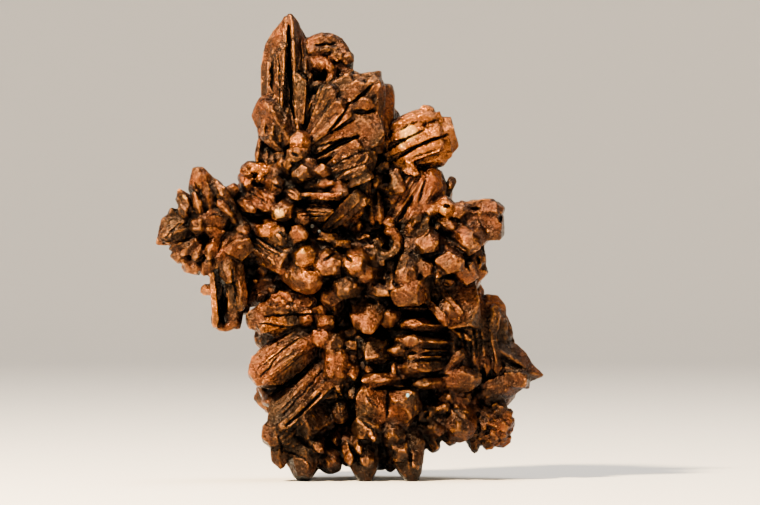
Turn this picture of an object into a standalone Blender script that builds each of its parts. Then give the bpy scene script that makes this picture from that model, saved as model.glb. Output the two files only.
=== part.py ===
"""Native copper: one cluster of copper crystals grown together, standing on its lowest points.

Metres, +Z up, -Y is the front. Each crystal is a row: its kind, the points where it starts and ends,
its width and its thickness, in millimetres as the specimen measures. The crystals are warped a little,
as grown ones are, and joined into one solid.
"""

import math
import random

import bmesh
import bpy
from mathutils import Matrix, Quaternion, Vector, noise

MM = 0.001
REAL_HEIGHT = 74.4 * MM
DRAWN_HEIGHT = 74.4
UNIT = REAL_HEIGHT / DRAWN_HEIGHT

# The origin of the part, in the rows' millimetres: the middle of the footprint, on the resting plane.
FOOTPRINT_MIDDLE = Vector((0.0, 3.8, 0.0))

# How grown faces stray from flat ones, and over what distance.
WARP_SIZE = 0.28
WARP_SPACING = 3.1

# Crystals are a little wider than their rows say, so that neighbours grow together, and they lean.
SWELL = 1.1
LEAN = 0.10
LEAN_FROM = 0.4

# A crystal steeper than this towards the viewer starts deeper in the mass.
STEEP = 0.4
ROOT_DEPTH = 3.5

# Knobs and lumps larger than these get 80 faces, smaller ones 20.
FINE_KNOB_WIDTH = 3.4
LARGE_LUMP = 7.4

# In a fan, the crystals turn by the golden angle, and get shorter and uneven outwards.
GOLDEN_ANGLE = math.radians(137.5)
FAN_KINDS = ("gable", "bullet", "block", "bullet", "slab")
FAN_ROOT = 0.2
FAN_SHORTER = 0.22
FAN_UNEVEN_LENGTH = 0.1
FAN_UNEVEN_WIDTH = 0.18
FAN_FLATNESS = 0.78

GROUND_DEPTH = 20.0
GROUND_SIDE = 160.0
MOST_TRIANGLES = 9400
TOUCH_GAP = 0.05 * MM

COPPER_COLOUR = (0.36, 0.145, 0.062, 1.0)
COPPER_ROUGHNESS = 0.42

# Each kind: sides of its cross-section, and how wide it is at each share of its length.
PROFILES = {
    "bullet": (6, ((0.0, 0.75), (0.72, 1.0), (1.0, 0.46))),
    "shield": (6, ((0.0, 0.85), (0.42, 1.0), (1.0, 0.22))),
    "spear": (4, ((0.0, 0.85), (0.5, 1.0), (1.0, 0.1))),
    "blade": (4, ((0.0, 0.85), (0.85, 1.0), (1.0, 0.6))),
    "slab": (6, ((0.0, 0.9), (0.84, 1.0), (1.0, 0.66))),
    "block": (4, ((0.0, 0.85), (0.82, 1.0), (1.0, 0.7))),
    "gable": (6, ((0.0, 0.8), (0.55, 1.0), (0.8, 0.78), (1.0, 0.34))),
}

# The mass that the crystals grow from: centre and half-sizes of each lump.
CORE = (
    ((5.0, 5.0, 17.0), (13.0, 9.5, 11.0)),
    ((-6.0, 2.5, 16.0), (7.5, 6.5, 9.0)),
    ((14.0, 4.5, 24.0), (8.0, 7.5, 9.5)),
    ((2.0, 4.5, 34.0), (12.5, 8.5, 10.0)),
    ((-4.0, 3.0, 50.0), (8.0, 6.5, 11.0)),
    ((-15.0, 0.0, 41.0), (8.0, 4.0, 4.5)),
)

# Flatter lumps right behind each group of crystals, which its crystals spring from.
BEDS = (
    ((-3.0, -0.6, 66.4), (3.0, 2.2, 4.0)),
    ((-0.6, -1.4, 58.4), (5.4, 3.0, 6.0)),
    ((5.4, -0.2, 57.0), (1.9, 2.4, 6.0)),
    ((0.2, -2.8, 49.6), (3.9, 3.6, 4.4)),
    ((-8.4, -1.8, 47.6), (6.2, 4.0, 6.6)),
    ((-12.6, 0.6, 32.0), (4.6, 3.2, 4.0)),
    ((-12.0, -2.0, 38.0), (5.4, 3.4, 3.8)),
    ((-5.4, -2.8, 35.4), (5.6, 4.6, 4.4)),
    ((1.6, -2.8, 33.4), (5.6, 4.6, 5.4)),
    ((0.6, -1.2, 41.4), (6.0, 3.6, 4.4)),
    ((11.4, -0.2, 54.2), (4.5, 3.0, 4.0)),
    ((11.2, 0.4, 45.6), (4.4, 3.2, 5.2)),
    ((6.4, -0.2, 49.6), (3.2, 2.8, 5.4)),
    ((12.4, -2.4, 35.6), (5.6, 4.2, 6.4)),
    ((20.2, -1.6, 41.2), (4.2, 3.0, 2.9)),
    ((17.6, -0.8, 33.6), (3.8, 3.6, 4.2)),
    ((-8.6, -0.8, 23.4), (6.6, 3.8, 4.6)),
    ((-6.4, -1.8, 12.6), (5.8, 3.8, 7.0)),
    ((-1.0, -1.8, 18.4), (3.4, 3.6, 6.8)),
    ((11.0, -1.4, 20.4), (7.0, 4.2, 6.2)),
    ((5.6, -1.6, 10.8), (5.4, 4.2, 4.8)),
    ((4.6, -0.2, 6.2), (6.6, 3.6, 3.6)),
    ((3.4, 5.0, 6.4), (9.0, 6.4, 4.9)),
    ((-7.0, 3.2, 6.6), (4.4, 5.6, 4.8)),
    ((22.2, 1.8, 21.4), (3.8, 3.2, 6.8)),
    ((24.4, 1.4, 17.2), (3.8, 2.4, 2.6)),
    ((16.2, -1.2, 11.8), (3.2, 3.4, 5.2)),
)

# Fans of crystals that cover the back: where each springs from, its heading, length, width, count and spread.
BACK_FANS = (
    ((-9.8, 0.6, 57.0), (0.0, 0.3, 0.95), 13.0, 4.0, 4, 22.0),
    ((-2.6, 0.6, 61.0), (0.1, 0.8, 0.6), 7.0, 3.4, 6, 50.0),
    ((2.0, 1.0, 56.0), (0.15, 0.9, 0.4), 8.0, 3.8, 7, 58.0),
    ((-7.0, 3.0, 53.0), (-0.15, 0.95, 0.2), 8.5, 4.4, 8, 62.0),
    ((-3.0, 4.0, 46.0), (-0.1, 1.0, 0.0), 9.5, 4.8, 8, 66.0),
    ((11.0, 1.0, 54.0), (0.05, 0.95, 0.2), 6.0, 3.4, 7, 56.0),
    ((-23.4, -1.8, 41.6), (-0.15, 0.9, 0.2), 6.0, 3.2, 8, 64.0),
    ((-16.0, -0.4, 41.4), (0.0, 1.0, 0.0), 7.0, 3.8, 7, 64.0),
    ((-18.8, -1.8, 30.4), (0.0, 1.0, -0.1), 4.2, 2.6, 6, 50.0),
    ((10.4, 2.0, 45.0), (0.1, 0.95, 0.1), 8.0, 4.4, 8, 60.0),
    ((19.4, -0.4, 40.4), (0.15, 0.95, 0.05), 6.0, 3.6, 7, 58.0),
    ((-1.0, 5.0, 37.0), (-0.2, 1.0, 0.1), 11.0, 5.4, 9, 68.0),
    ((9.6, 5.6, 33.0), (0.3, 0.95, 0.1), 10.0, 5.2, 8, 64.0),
    ((-8.0, 2.0, 27.0), (-0.3, 0.9, 0.1), 7.6, 4.4, 8, 62.0),
    ((17.0, 3.2, 26.0), (0.35, 0.9, 0.1), 8.5, 4.6, 8, 62.0),
    ((-8.0, 2.6, 16.0), (-0.3, 0.95, 0.0), 8.0, 4.8, 9, 64.0),
    ((2.0, 7.0, 23.0), (-0.05, 1.0, 0.0), 11.0, 5.8, 9, 70.0),
    ((11.0, 6.6, 15.0), (0.25, 0.95, -0.1), 9.0, 5.2, 8, 64.0),
    ((20.6, 2.6, 14.0), (0.25, 0.95, 0.0), 7.0, 4.0, 8, 58.0),
    ((-5.0, 4.4, 8.0), (-0.2, 1.0, -0.1), 7.0, 4.4, 7, 56.0),
    ((4.0, 8.0, 10.0), (0.0, 1.0, -0.2), 8.5, 4.8, 8, 60.0),
)

SPIRE = (
    ("blade", (-11.0, -2.4, 55.0), (-11.0, -2.4, 67.5), 2.2, 4.2),
    ("gable", (-11.2, -2.4, 60.0), (-10.4, -2.0, 73.9), 3.4, 4.2),
    ("blade", (-8.0, -2.2, 55.0), (-8.0, -2.2, 66.0), 2.2, 3.8),
    ("gable", (-7.9, -2.2, 60.0), (-8.9, -2.0, 74.4), 3.3, 4.2),
    ("gable", (-9.8, 0.2, 54.0), (-9.6, -0.6, 74.0), 7.0, 3.8),
    ("blade", (-13.0, -1.2, 56.0), (-12.9, -1.0, 67.0), 1.3, 3.0),
    ("bullet", (-7.9, -4.4, 56.5), (-7.9, -4.4, 65.0), 1.8, 1.6),
    ("spear", (-7.4, -0.8, 61.0), (-6.8, -0.6, 70.6), 2.6, 3.4),
    ("blade", (-11.0, -4.6, 57.0), (-10.6, -4.4, 67.0), 1.0, 1.0),
)

HEAD = (
    ("knob", (-6.0, -1.4, 69.4), (-2.8, -1.4, 70.4), 1.8, 3.4),
    ("knob", (-3.8, -1.2, 70.2), (-0.8, -1.2, 68.4), 2.0, 3.4),
    ("knob", (-1.0, -1.0, 69.4), (-0.5, -1.0, 65.0), 1.8, 3.6),
    ("bullet", (-5.4, -1.0, 66.0), (-5.9, -2.6, 69.0), 1.8, 1.8),
    ("bullet", (-4.6, -2.2, 64.4), (-4.6, -3.0, 67.6), 1.3, 1.4),
    ("blade", (-2.6, -2.4, 63.0), (-3.9, -3.0, 67.4), 1.0, 1.6),
    ("bullet", (-1.4, -1.6, 64.4), (-2.2, -3.0, 68.2), 1.9, 1.8),
    ("knob", (-3.0, 0.8, 61.5), (-3.0, 0.8, 70.0), 5.2, 3.8),
    ("blade", (-6.6, -3.2, 62.6), (-4.2, -3.6, 63.6), 1.0, 1.4),
)

FAN = (
    ("blade", (-5.8, -3.2, 58.0), (-4.4, -3.8, 62.4), 0.9, 1.8),
    ("blade", (-6.6, -3.6, 54.8), (-2.9, -4.6, 62.8), 1.5, 2.6),
    ("blade", (-6.8, -4.2, 53.8), (-1.0, -5.4, 60.2), 1.2, 2.6),
    ("blade", (-6.6, -4.4, 52.8), (0.4, -5.8, 58.4), 1.0, 2.4),
    ("slab", (-5.0, -4.0, 53.4), (4.6, -5.2, 56.4), 3.2, 2.6),
    ("bullet", (-2.6, -3.6, 60.6), (2.9, -5.2, 63.4), 1.9, 2.4),
    ("bullet", (-1.6, -4.4, 57.6), (3.4, -5.8, 60.4), 1.7, 2.2),
    ("blade", (1.8, -4.6, 59.8), (4.6, -5.2, 64.0), 1.1, 2.2),
    ("blade", (-2.6, -2.6, 63.4), (4.9, -3.8, 64.3), 0.9, 3.0),
    ("slab", (4.0, -3.0, 52.0), (4.4, -3.6, 64.0), 1.9, 4.4),
    ("slab", (5.6, -0.6, 51.0), (5.6, -0.8, 62.0), 2.2, 3.4),
    ("slab", (0.0, -0.6, 51.0), (0.6, -1.6, 64.0), 8.6, 3.6),
)

SHELL = (
    ("bullet", (-4.0, -4.6, 49.2), (2.9, -6.6, 53.2), 2.1, 3.2),
    ("bullet", (-3.4, -5.4, 48.2), (3.3, -7.2, 51.6), 1.6, 2.6),
    ("bullet", (-2.4, -6.0, 47.4), (1.8, -7.4, 49.8), 1.5, 2.2),
    ("blade", (-1.2, -6.2, 46.2), (3.4, -6.8, 49.2), 0.8, 2.2),
    ("knob", (0.4, -4.0, 48.0), (3.2, -4.8, 53.4), 4.2, 4.0),
    ("knob", (1.8, -3.4, 45.0), (2.4, -4.4, 48.4), 2.4, 3.4),
)

SHOULDER = (
    ("slab", (-14.6, -2.6, 59.0), (-8.2, -3.2, 56.2), 2.4, 3.8),
    ("spear", (-12.8, -2.0, 57.0), (-13.2, -2.0, 60.9), 2.4, 3.0),
    ("bullet", (-14.2, -2.4, 55.0), (-10.6, -3.2, 52.4), 1.3, 2.4),
    ("slab", (-11.8, -0.2, 49.0), (-11.6, 0.2, 59.0), 5.4, 3.8),
)

CROWD = (
    ("bullet", (-8.1, -3.6, 50.6), (-8.2, -6.0, 55.3), 3.2, 2.8),
    ("bullet", (-8.6, -4.6, 49.4), (-8.5, -7.8, 52.7), 2.3, 2.0),
    ("blade", (-11.0, -3.6, 47.2), (-10.7, -6.0, 51.2), 1.1, 1.8),
    ("bullet", (-9.9, -4.0, 46.4), (-9.4, -7.2, 51.0), 1.2, 1.6),
    ("bullet", (-7.5, -4.6, 46.4), (-7.5, -8.6, 49.5), 2.3, 2.0),
    ("bullet", (-6.3, -4.0, 48.4), (-6.2, -7.4, 50.5), 1.5, 1.5),
    ("bullet", (-4.6, -4.4, 46.4), (-4.7, -8.4, 49.8), 1.9, 1.8),
    ("spear", (-7.8, -5.2, 45.8), (-3.0, -8.4, 47.6), 1.8, 2.2),
    ("bullet", (-4.6, -5.4, 47.6), (-0.5, -8.4, 45.7), 1.9, 2.4),
    ("blade", (-8.6, -4.6, 45.3), (-2.6, -7.6, 45.4), 0.6, 3.6),
    ("bullet", (-12.6, -3.6, 47.4), (-8.2, -7.2, 44.9), 1.5, 1.8),
    ("bullet", (-14.2, -3.6, 46.6), (-11.5, -6.8, 45.0), 1.3, 1.6),
    ("bullet", (-9.8, -3.6, 43.8), (-11.5, -9.4, 42.1), 2.3, 2.2),
    ("bullet", (-9.6, -3.8, 44.2), (-7.3, -7.8, 40.9), 1.6, 1.8),
    ("slab", (-17.0, -3.6, 46.8), (-13.0, -6.0, 43.6), 1.6, 2.4),
    ("slab", (-15.8, -3.2, 47.6), (-12.5, -5.8, 43.9), 1.3, 2.4),
    ("bullet", (-18.3, -3.8, 45.0), (-15.2, -6.8, 42.9), 1.6, 1.9),
    ("knob", (-16.9, -2.8, 49.2), (-15.6, -3.8, 50.0), 1.4, 1.8),
    ("knob", (-15.9, -3.6, 49.0), (-14.5, -4.6, 49.9), 1.4, 1.6),
    ("knob", (-14.6, -3.8, 49.0), (-12.4, -4.8, 49.5), 1.4, 1.8),
    ("knob", (-16.8, -3.0, 48.4), (-16.0, -4.0, 46.4), 1.6, 2.2),
    ("knob", (-17.6, -1.2, 47.2), (-11.0, -1.2, 48.0), 5.2, 4.6),
)

LEFT_ARM = (
    ("bullet", (-23.2, -3.0, 43.4), (-24.0, -4.6, 49.3), 3.4, 2.8),
    ("bullet", (-21.0, -2.4, 43.0), (-20.9, -3.8, 47.8), 2.0, 2.4),
    ("bullet", (-22.7, -4.0, 42.4), (-22.8, -6.2, 46.9), 1.5, 1.8),
    ("bullet", (-21.8, -3.8, 42.4), (-21.9, -5.4, 46.6), 1.0, 1.6),
    ("bullet", (-24.9, -3.6, 41.8), (-26.2, -6.2, 46.1), 1.9, 1.9),
    ("bullet", (-23.4, -4.2, 41.4), (-24.2, -6.8, 45.7), 1.1, 1.6),
    ("bullet", (-25.8, -3.6, 40.2), (-26.4, -6.8, 43.7), 1.9, 1.8),
    ("bullet", (-26.4, -3.0, 40.2), (-27.9, -4.6, 42.7), 1.4, 1.8),
    ("knob", (-24.2, -4.2, 39.4), (-24.0, -7.0, 41.6), 2.0, 2.0),
    ("bullet", (-26.0, -2.6, 40.2), (-30.6, -4.4, 38.7), 2.8, 2.4),
    ("blade", (-25.6, -2.8, 38.2), (-30.5, -4.6, 37.6), 1.0, 2.4),
    ("bullet", (-27.0, -2.8, 40.4), (-29.4, -3.8, 40.6), 1.3, 1.8),
    ("bullet", (-18.2, -3.0, 41.8), (-20.6, -5.6, 45.4), 1.6, 2.0),
    ("bullet", (-18.4, -3.6, 41.4), (-22.6, -6.6, 42.4), 1.5, 1.8),
    ("bullet", (-18.6, -3.4, 40.0), (-21.8, -6.4, 40.8), 1.4, 1.8),
    ("block", (-19.8, -2.8, 38.8), (-17.3, -5.0, 37.2), 2.9, 2.6),
    ("knob", (-26.6, -2.4, 37.4), (-26.8, -4.4, 35.4), 1.4, 1.8),
    ("knob", (-24.6, -2.4, 36.0), (-24.9, -4.0, 33.4), 1.6, 1.8),
    ("bullet", (-22.0, -3.4, 39.4), (-23.4, -5.6, 37.4), 1.4, 1.8),
    ("bullet", (-20.4, -3.2, 37.6), (-22.4, -5.0, 35.6), 1.6, 1.8),
    ("bullet", (-20.8, -3.0, 37.0), (-20.2, -4.8, 33.2), 1.4, 1.8),
    ("knob", (-28.0, -2.4, 38.4), (-17.0, -1.8, 39.5), 5.8, 4.6),
    ("knob", (-24.4, -2.6, 38.6), (-19.2, -2.4, 32.0), 5.2, 4.0),
    ("knob", (-26.0, -2.6, 41.2), (-18.0, -2.4, 43.8), 5.0, 3.8),
    ("slab", (-19.2, -2.2, 37.0), (-18.2, -2.4, 25.2), 3.1, 3.0),
    ("bullet", (-18.4, -2.6, 34.0), (-17.2, -3.0, 28.0), 1.9, 2.6),
    ("blade", (-21.6, -3.6, 33.0), (-21.1, -3.8, 24.4), 0.8, 2.8),
    ("slab", (-20.6, -1.4, 34.0), (-20.2, -1.6, 24.3), 2.4, 2.0),
    ("blade", (-21.6, -3.2, 24.6), (-18.8, -3.4, 24.5), 0.8, 2.8),
    ("bullet", (-21.2, -2.8, 30.2), (-23.7, -3.4, 30.4), 1.3, 1.6),
    ("knob", (-18.4, -1.0, 27.6), (-16.1, 0.0, 27.2), 1.5, 2.2),
)

BAND = (
    ("bullet", (-17.4, -2.6, 41.0), (-12.9, -6.2, 38.3), 1.5, 2.0),
    ("bullet", (-18.2, -1.8, 39.4), (-9.2, -7.2, 35.2), 1.9, 2.4),
    ("bullet", (-17.4, -1.2, 37.8), (-10.2, -6.0, 34.4), 1.5, 2.2),
    ("blade", (-14.4, -3.6, 41.7), (-11.8, -6.2, 39.4), 0.9, 1.6),
    ("bullet", (-13.0, -3.8, 39.8), (-10.2, -7.4, 37.5), 1.2, 1.8),
    ("knob", (-11.6, -5.6, 38.0), (-9.4, -8.0, 39.6), 2.2, 2.0),
    ("bullet", (-9.4, -4.4, 35.8), (-7.8, -8.8, 39.7), 1.7, 1.9),
    ("bullet", (-6.8, -3.2, 35.4), (-6.5, -10.4, 36.0), 3.0, 2.9),
    ("bullet", (-10.8, -3.8, 35.2), (-6.9, -10.0, 32.1), 2.8, 2.6),
    ("bullet", (-6.6, -3.8, 37.0), (-2.9, -7.0, 38.0), 1.2, 2.0),
    ("bullet", (-3.2, -3.2, 37.2), (-3.6, -9.4, 33.0), 3.0, 2.8),
    ("blade", (-4.8, -4.0, 37.0), (-1.2, -6.8, 37.2), 0.8, 2.2),
    ("bullet", (0.9, -3.2, 36.6), (0.2, -9.0, 33.6), 2.7, 2.6),
    ("bullet", (0.8, -3.6, 34.0), (-0.5, -9.6, 30.6), 2.7, 2.6),
    ("bullet", (6.4, -3.4, 31.8), (2.0, -8.6, 33.4), 1.7, 1.8),
    ("bullet", (6.2, -3.0, 33.4), (6.6, -8.4, 30.8), 1.4, 1.4),
    ("bullet", (0.8, -5.0, 32.2), (5.4, -8.2, 30.1), 1.2, 2.0),
    ("shield", (3.4, -3.4, 30.4), (2.9, -8.4, 23.6), 4.8, 2.8),
    ("blade", (0.4, -4.0, 28.8), (1.6, -6.8, 25.8), 1.2, 2.0),
    ("bullet", (3.9, -2.6, 38.6), (4.2, -4.4, 35.4), 1.5, 1.8),
    ("bullet", (3.8, -3.6, 36.0), (6.8, -4.8, 35.0), 1.5, 1.8),
    ("bullet", (6.0, -4.0, 35.0), (8.0, -4.6, 37.4), 1.5, 1.8),
    ("bullet", (7.8, -4.2, 36.2), (7.8, -3.8, 39.6), 1.5, 1.8),
    ("bullet", (8.0, -3.4, 38.4), (6.6, -3.4, 40.8), 1.4, 1.8),
    ("bullet", (4.4, -2.2, 42.0), (6.9, -4.6, 40.6), 1.2, 1.6),
    ("bullet", (3.6, -1.2, 39.8), (6.4, -3.4, 39.4), 1.6, 1.8),
    ("knob", (-1.2, -2.0, 39.2), (-0.6, -4.2, 42.0), 1.3, 1.8),
    ("knob", (0.2, -2.0, 39.0), (1.4, -4.4, 40.8), 1.5, 1.8),
    ("bullet", (0.8, -1.6, 36.4), (2.6, -5.0, 38.8), 1.8, 2.0),
    ("blade", (3.2, -2.6, 46.2), (3.5, -4.4, 41.0), 0.9, 1.6),
    ("blade", (4.2, -2.8, 46.0), (4.6, -4.6, 41.0), 0.9, 1.6),
    ("blade", (-2.8, -3.8, 41.0), (1.4, -6.4, 45.6), 1.0, 2.0),
    ("blade", (-1.9, -3.6, 41.0), (2.4, -5.6, 44.8), 0.7, 1.8),
    ("slab", (2.0, -1.4, 40.6), (2.6, -2.8, 47.0), 3.2, 2.8),
)

GOLDEN_BLOCK = (
    ("slab", (7.2, -0.8, 56.5), (13.2, -1.0, 58.2), 2.2, 5.0),
    ("blade", (6.9, -1.6, 54.4), (11.6, -1.8, 56.9), 1.0, 4.4),
    ("blade", (7.2, -1.6, 52.5), (13.8, -1.8, 56.0), 1.2, 4.4),
    ("blade", (8.3, -1.6, 51.0), (14.4, -1.8, 54.0), 1.5, 4.0),
    ("block", (6.8, -0.2, 53.4), (16.0, -0.2, 55.2), 6.8, 5.4),
    ("bullet", (10.2, -0.2, 50.6), (15.3, -0.6, 52.2), 3.2, 3.8),
    ("block", (13.2, -0.6, 58.2), (15.1, -0.4, 51.0), 2.4, 4.0),
    ("bullet", (10.6, -0.4, 56.8), (13.1, -0.8, 59.2), 1.7, 3.0),
    ("slab", (6.6, -2.4, 41.6), (12.0, -1.6, 49.4), 3.0, 2.4),
    ("slab", (9.6, -2.8, 40.6), (13.9, -1.8, 48.9), 3.9, 2.4),
    ("bullet", (14.4, 0.4, 43.0), (16.4, -0.4, 48.2), 1.2, 1.6),
    ("knob", (8.6, 1.4, 41.0), (13.0, 1.4, 51.4), 6.0, 4.4),
    ("bullet", (4.7, -1.4, 51.6), (4.4, -4.2, 47.2), 1.3, 2.0),
    ("bullet", (4.9, -1.8, 51.2), (7.6, -4.6, 47.0), 1.3, 1.8),
    ("bullet", (3.8, -2.8, 46.4), (8.1, -5.0, 46.8), 1.3, 2.0),
    ("bullet", (6.2, -0.8, 49.8), (10.1, -3.6, 48.9), 1.6, 2.0),
    ("blade", (6.2, -0.6, 52.4), (10.0, -3.0, 49.8), 1.1, 2.0),
    ("knob", (4.8, -1.2, 43.8), (6.5, -3.2, 44.6), 1.7, 2.0),
)

RIGHT_ARM = (
    ("block", (10.8, -3.2, 42.0), (13.7, -5.2, 43.4), 2.0, 2.6),
    ("knob", (14.2, -3.6, 43.0), (16.4, -5.2, 43.9), 2.0, 2.6),
    ("knob", (16.2, -3.6, 41.2), (18.4, -5.4, 43.4), 2.2, 2.8),
    ("bullet", (17.0, -3.4, 43.4), (20.2, -5.2, 42.4), 1.3, 2.4),
    ("blade", (16.2, -3.2, 43.6), (22.9, -3.8, 44.5), 0.8, 2.8),
    ("block", (18.4, -3.2, 42.8), (23.9, -4.4, 43.5), 2.0, 3.4),
    ("block", (19.0, -3.0, 40.4), (23.8, -3.8, 40.4), 4.1, 4.2),
    ("blade", (24.0, -3.4, 43.9), (24.3, -3.6, 39.1), 0.9, 3.6),
    ("blade", (12.2, -3.6, 41.5), (16.4, -6.2, 40.0), 1.0, 1.8),
    ("bullet", (14.8, -3.4, 41.2), (19.8, -8.0, 36.9), 2.6, 2.6),
    ("block", (17.8, -3.4, 41.6), (20.7, -6.2, 38.4), 2.4, 2.6),
    ("blade", (8.9, -3.2, 38.8), (11.1, -5.6, 42.3), 1.3, 2.0),
    ("bullet", (12.8, -2.8, 40.8), (12.2, -8.4, 36.2), 2.8, 2.6),
    ("blade", (10.9, -4.2, 38.1), (8.2, -6.8, 34.8), 0.9, 1.6),
    ("bullet", (10.4, -3.2, 36.8), (8.8, -9.2, 32.0), 2.5, 2.4),
    ("bullet", (10.8, -3.0, 36.8), (11.8, -8.0, 33.2), 2.3, 2.2),
    ("block", (15.2, -3.0, 38.4), (15.9, -8.0, 32.8), 3.1, 3.0),
    ("bullet", (14.4, -4.0, 35.2), (13.7, -8.4, 32.6), 1.9, 1.8),
    ("block", (17.0, -2.6, 36.4), (18.6, -6.2, 32.2), 2.4, 2.6),
    ("knob", (18.6, -2.8, 36.6), (21.0, -4.4, 34.6), 1.9, 2.4),
    ("knob", (18.4, -2.8, 33.8), (21.0, -4.6, 33.2), 1.9, 2.4),
    ("bullet", (20.2, -2.0, 39.6), (20.8, -3.2, 33.6), 1.5, 2.0),
    ("bullet", (12.0, -3.2, 31.8), (8.3, -9.6, 29.0), 3.1, 2.8),
    ("blade", (11.2, -3.6, 29.4), (15.2, -6.2, 25.2), 1.0, 2.0),
    ("blade", (12.4, -3.2, 31.0), (16.0, -5.8, 26.4), 0.9, 2.0),
    ("block", (16.6, -0.6, 32.4), (18.0, -2.6, 23.6), 6.2, 5.0),
    ("knob", (9.0, -1.2, 40.0), (23.4, -1.4, 41.4), 5.4, 5.0),
    ("knob", (9.0, -0.4, 35.4), (20.8, -0.6, 33.6), 7.6, 6.0),
)

LEFT_BLADES = (
    ("bullet", (-5.6, -0.8, 26.6), (-16.2, -4.4, 24.4), 5.0, 4.6),
    ("bullet", (-2.2, -2.4, 25.0), (-3.0, -6.4, 30.7), 2.6, 2.6),
    ("knob", (-5.0, -3.8, 24.6), (-2.8, -6.2, 25.8), 2.3, 2.4),
    ("bullet", (-6.6, -1.4, 24.8), (-13.6, -4.2, 19.6), 2.0, 2.6),
    ("bullet", (-4.6, -1.8, 24.0), (-15.5, -6.2, 16.6), 2.8, 3.2),
    ("bullet", (-3.2, -2.8, 22.4), (-14.4, -7.2, 15.0), 2.2, 2.8),
    ("bullet", (-5.0, -1.4, 20.0), (-13.8, -4.6, 12.8), 2.8, 3.2),
    ("knob", (-15.6, -5.2, 17.6), (-13.0, -5.2, 14.0), 2.9, 3.4),
    ("blade", (-14.0, -3.0, 14.2), (-11.9, -3.8, 11.6), 1.4, 2.2),
    ("bullet", (-1.8, -2.0, 20.2), (-12.8, -6.6, 8.4), 3.1, 3.4),
    ("bullet", (-1.4, -3.2, 16.4), (-11.0, -8.0, 8.4), 1.8, 2.6),
    ("bullet", (-6.6, -2.4, 11.0), (-12.9, -6.0, 6.6), 4.7, 4.2),
    ("bullet", (-8.4, -2.2, 10.0), (-7.6, -5.4, -0.2), 6.0, 5.0),
    ("knob", (-12.8, -4.6, 8.4), (-9.6, -4.6, 2.2), 3.4, 4.2),
    ("block", (-2.4, -2.6, 13.4), (-7.6, -6.8, 9.0), 4.2, 2.8),
    ("bullet", (-8.2, -4.8, 7.8), (-4.9, -7.4, 5.3), 1.4, 2.0),
    ("bullet", (-6.4, -2.8, 6.0), (-2.5, -4.8, 2.6), 2.7, 3.0),
    ("bullet", (-1.5, -1.0, 10.4), (-2.2, -4.0, 6.2), 2.1, 2.4),
)

LOW_MIDDLE = (
    ("knob", (-3.9, -3.4, 22.2), (-0.6, -6.0, 23.2), 2.9, 3.0),
    ("bullet", (0.3, -3.0, 20.0), (0.5, -6.0, 16.4), 1.5, 1.6),
    ("bullet", (0.4, -2.8, 16.4), (0.5, -5.6, 13.5), 1.5, 1.5),
    ("bullet", (-1.3, -2.2, 14.2), (-1.6, -5.8, 9.9), 2.3, 2.0),
    ("knob", (1.6, -3.4, 22.8), (5.8, -5.4, 19.8), 4.6, 3.2),
    ("bullet", (4.8, -2.4, 19.4), (2.8, -5.0, 17.2), 1.2, 1.6),
)

LEDGES = (
    ("block", (9.2, -3.2, 27.4), (5.7, -6.8, 25.7), 2.3, 2.8),
    ("blade", (15.4, -2.4, 25.0), (9.4, -7.0, 25.0), 1.3, 4.0),
    ("blade", (15.0, -2.6, 23.7), (9.6, -6.4, 23.9), 0.5, 3.4),
    ("blade", (17.8, -2.0, 22.2), (8.6, -6.8, 22.4), 1.5, 4.0),
    ("bullet", (10.8, -3.2, 20.6), (7.1, -7.0, 20.7), 1.6, 2.4),
    ("blade", (16.0, -2.6, 20.5), (10.6, -6.2, 20.9), 0.7, 3.4),
    ("blade", (15.8, -2.6, 19.6), (10.0, -6.2, 19.8), 0.6, 3.4),
    ("bullet", (16.8, -2.2, 18.7), (9.3, -6.6, 18.2), 2.3, 3.4),
    ("blade", (11.4, -2.6, 16.2), (3.0, -7.6, 15.9), 1.3, 4.0),
    ("blade", (16.2, -2.4, 15.9), (10.6, -6.4, 15.4), 1.1, 3.4),
    ("bullet", (13.4, -1.8, 15.8), (20.6, -4.2, 16.1), 3.5, 3.6),
    ("bullet", (15.2, -3.0, 17.2), (18.1, -3.8, 21.0), 1.3, 2.8),
    ("blade", (14.8, -2.4, 24.4), (18.8, -3.6, 22.5), 0.8, 2.4),
)

LOW_BLOCK = (
    ("knob", (5.8, -3.6, 12.4), (1.4, -6.6, 12.4), 5.0, 4.6),
    ("block", (5.6, -2.8, 12.6), (10.9, -6.0, 13.0), 3.9, 3.8),
    ("knob", (6.6, -3.2, 9.8), (1.3, -6.2, 8.4), 4.4, 4.2),
    ("block", (6.9, -3.0, 10.6), (7.0, -6.2, 6.8), 2.8, 3.2),
    ("bullet", (2.2, -5.6, 10.0), (3.8, -8.0, 7.1), 1.0, 1.8),
)

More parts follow.
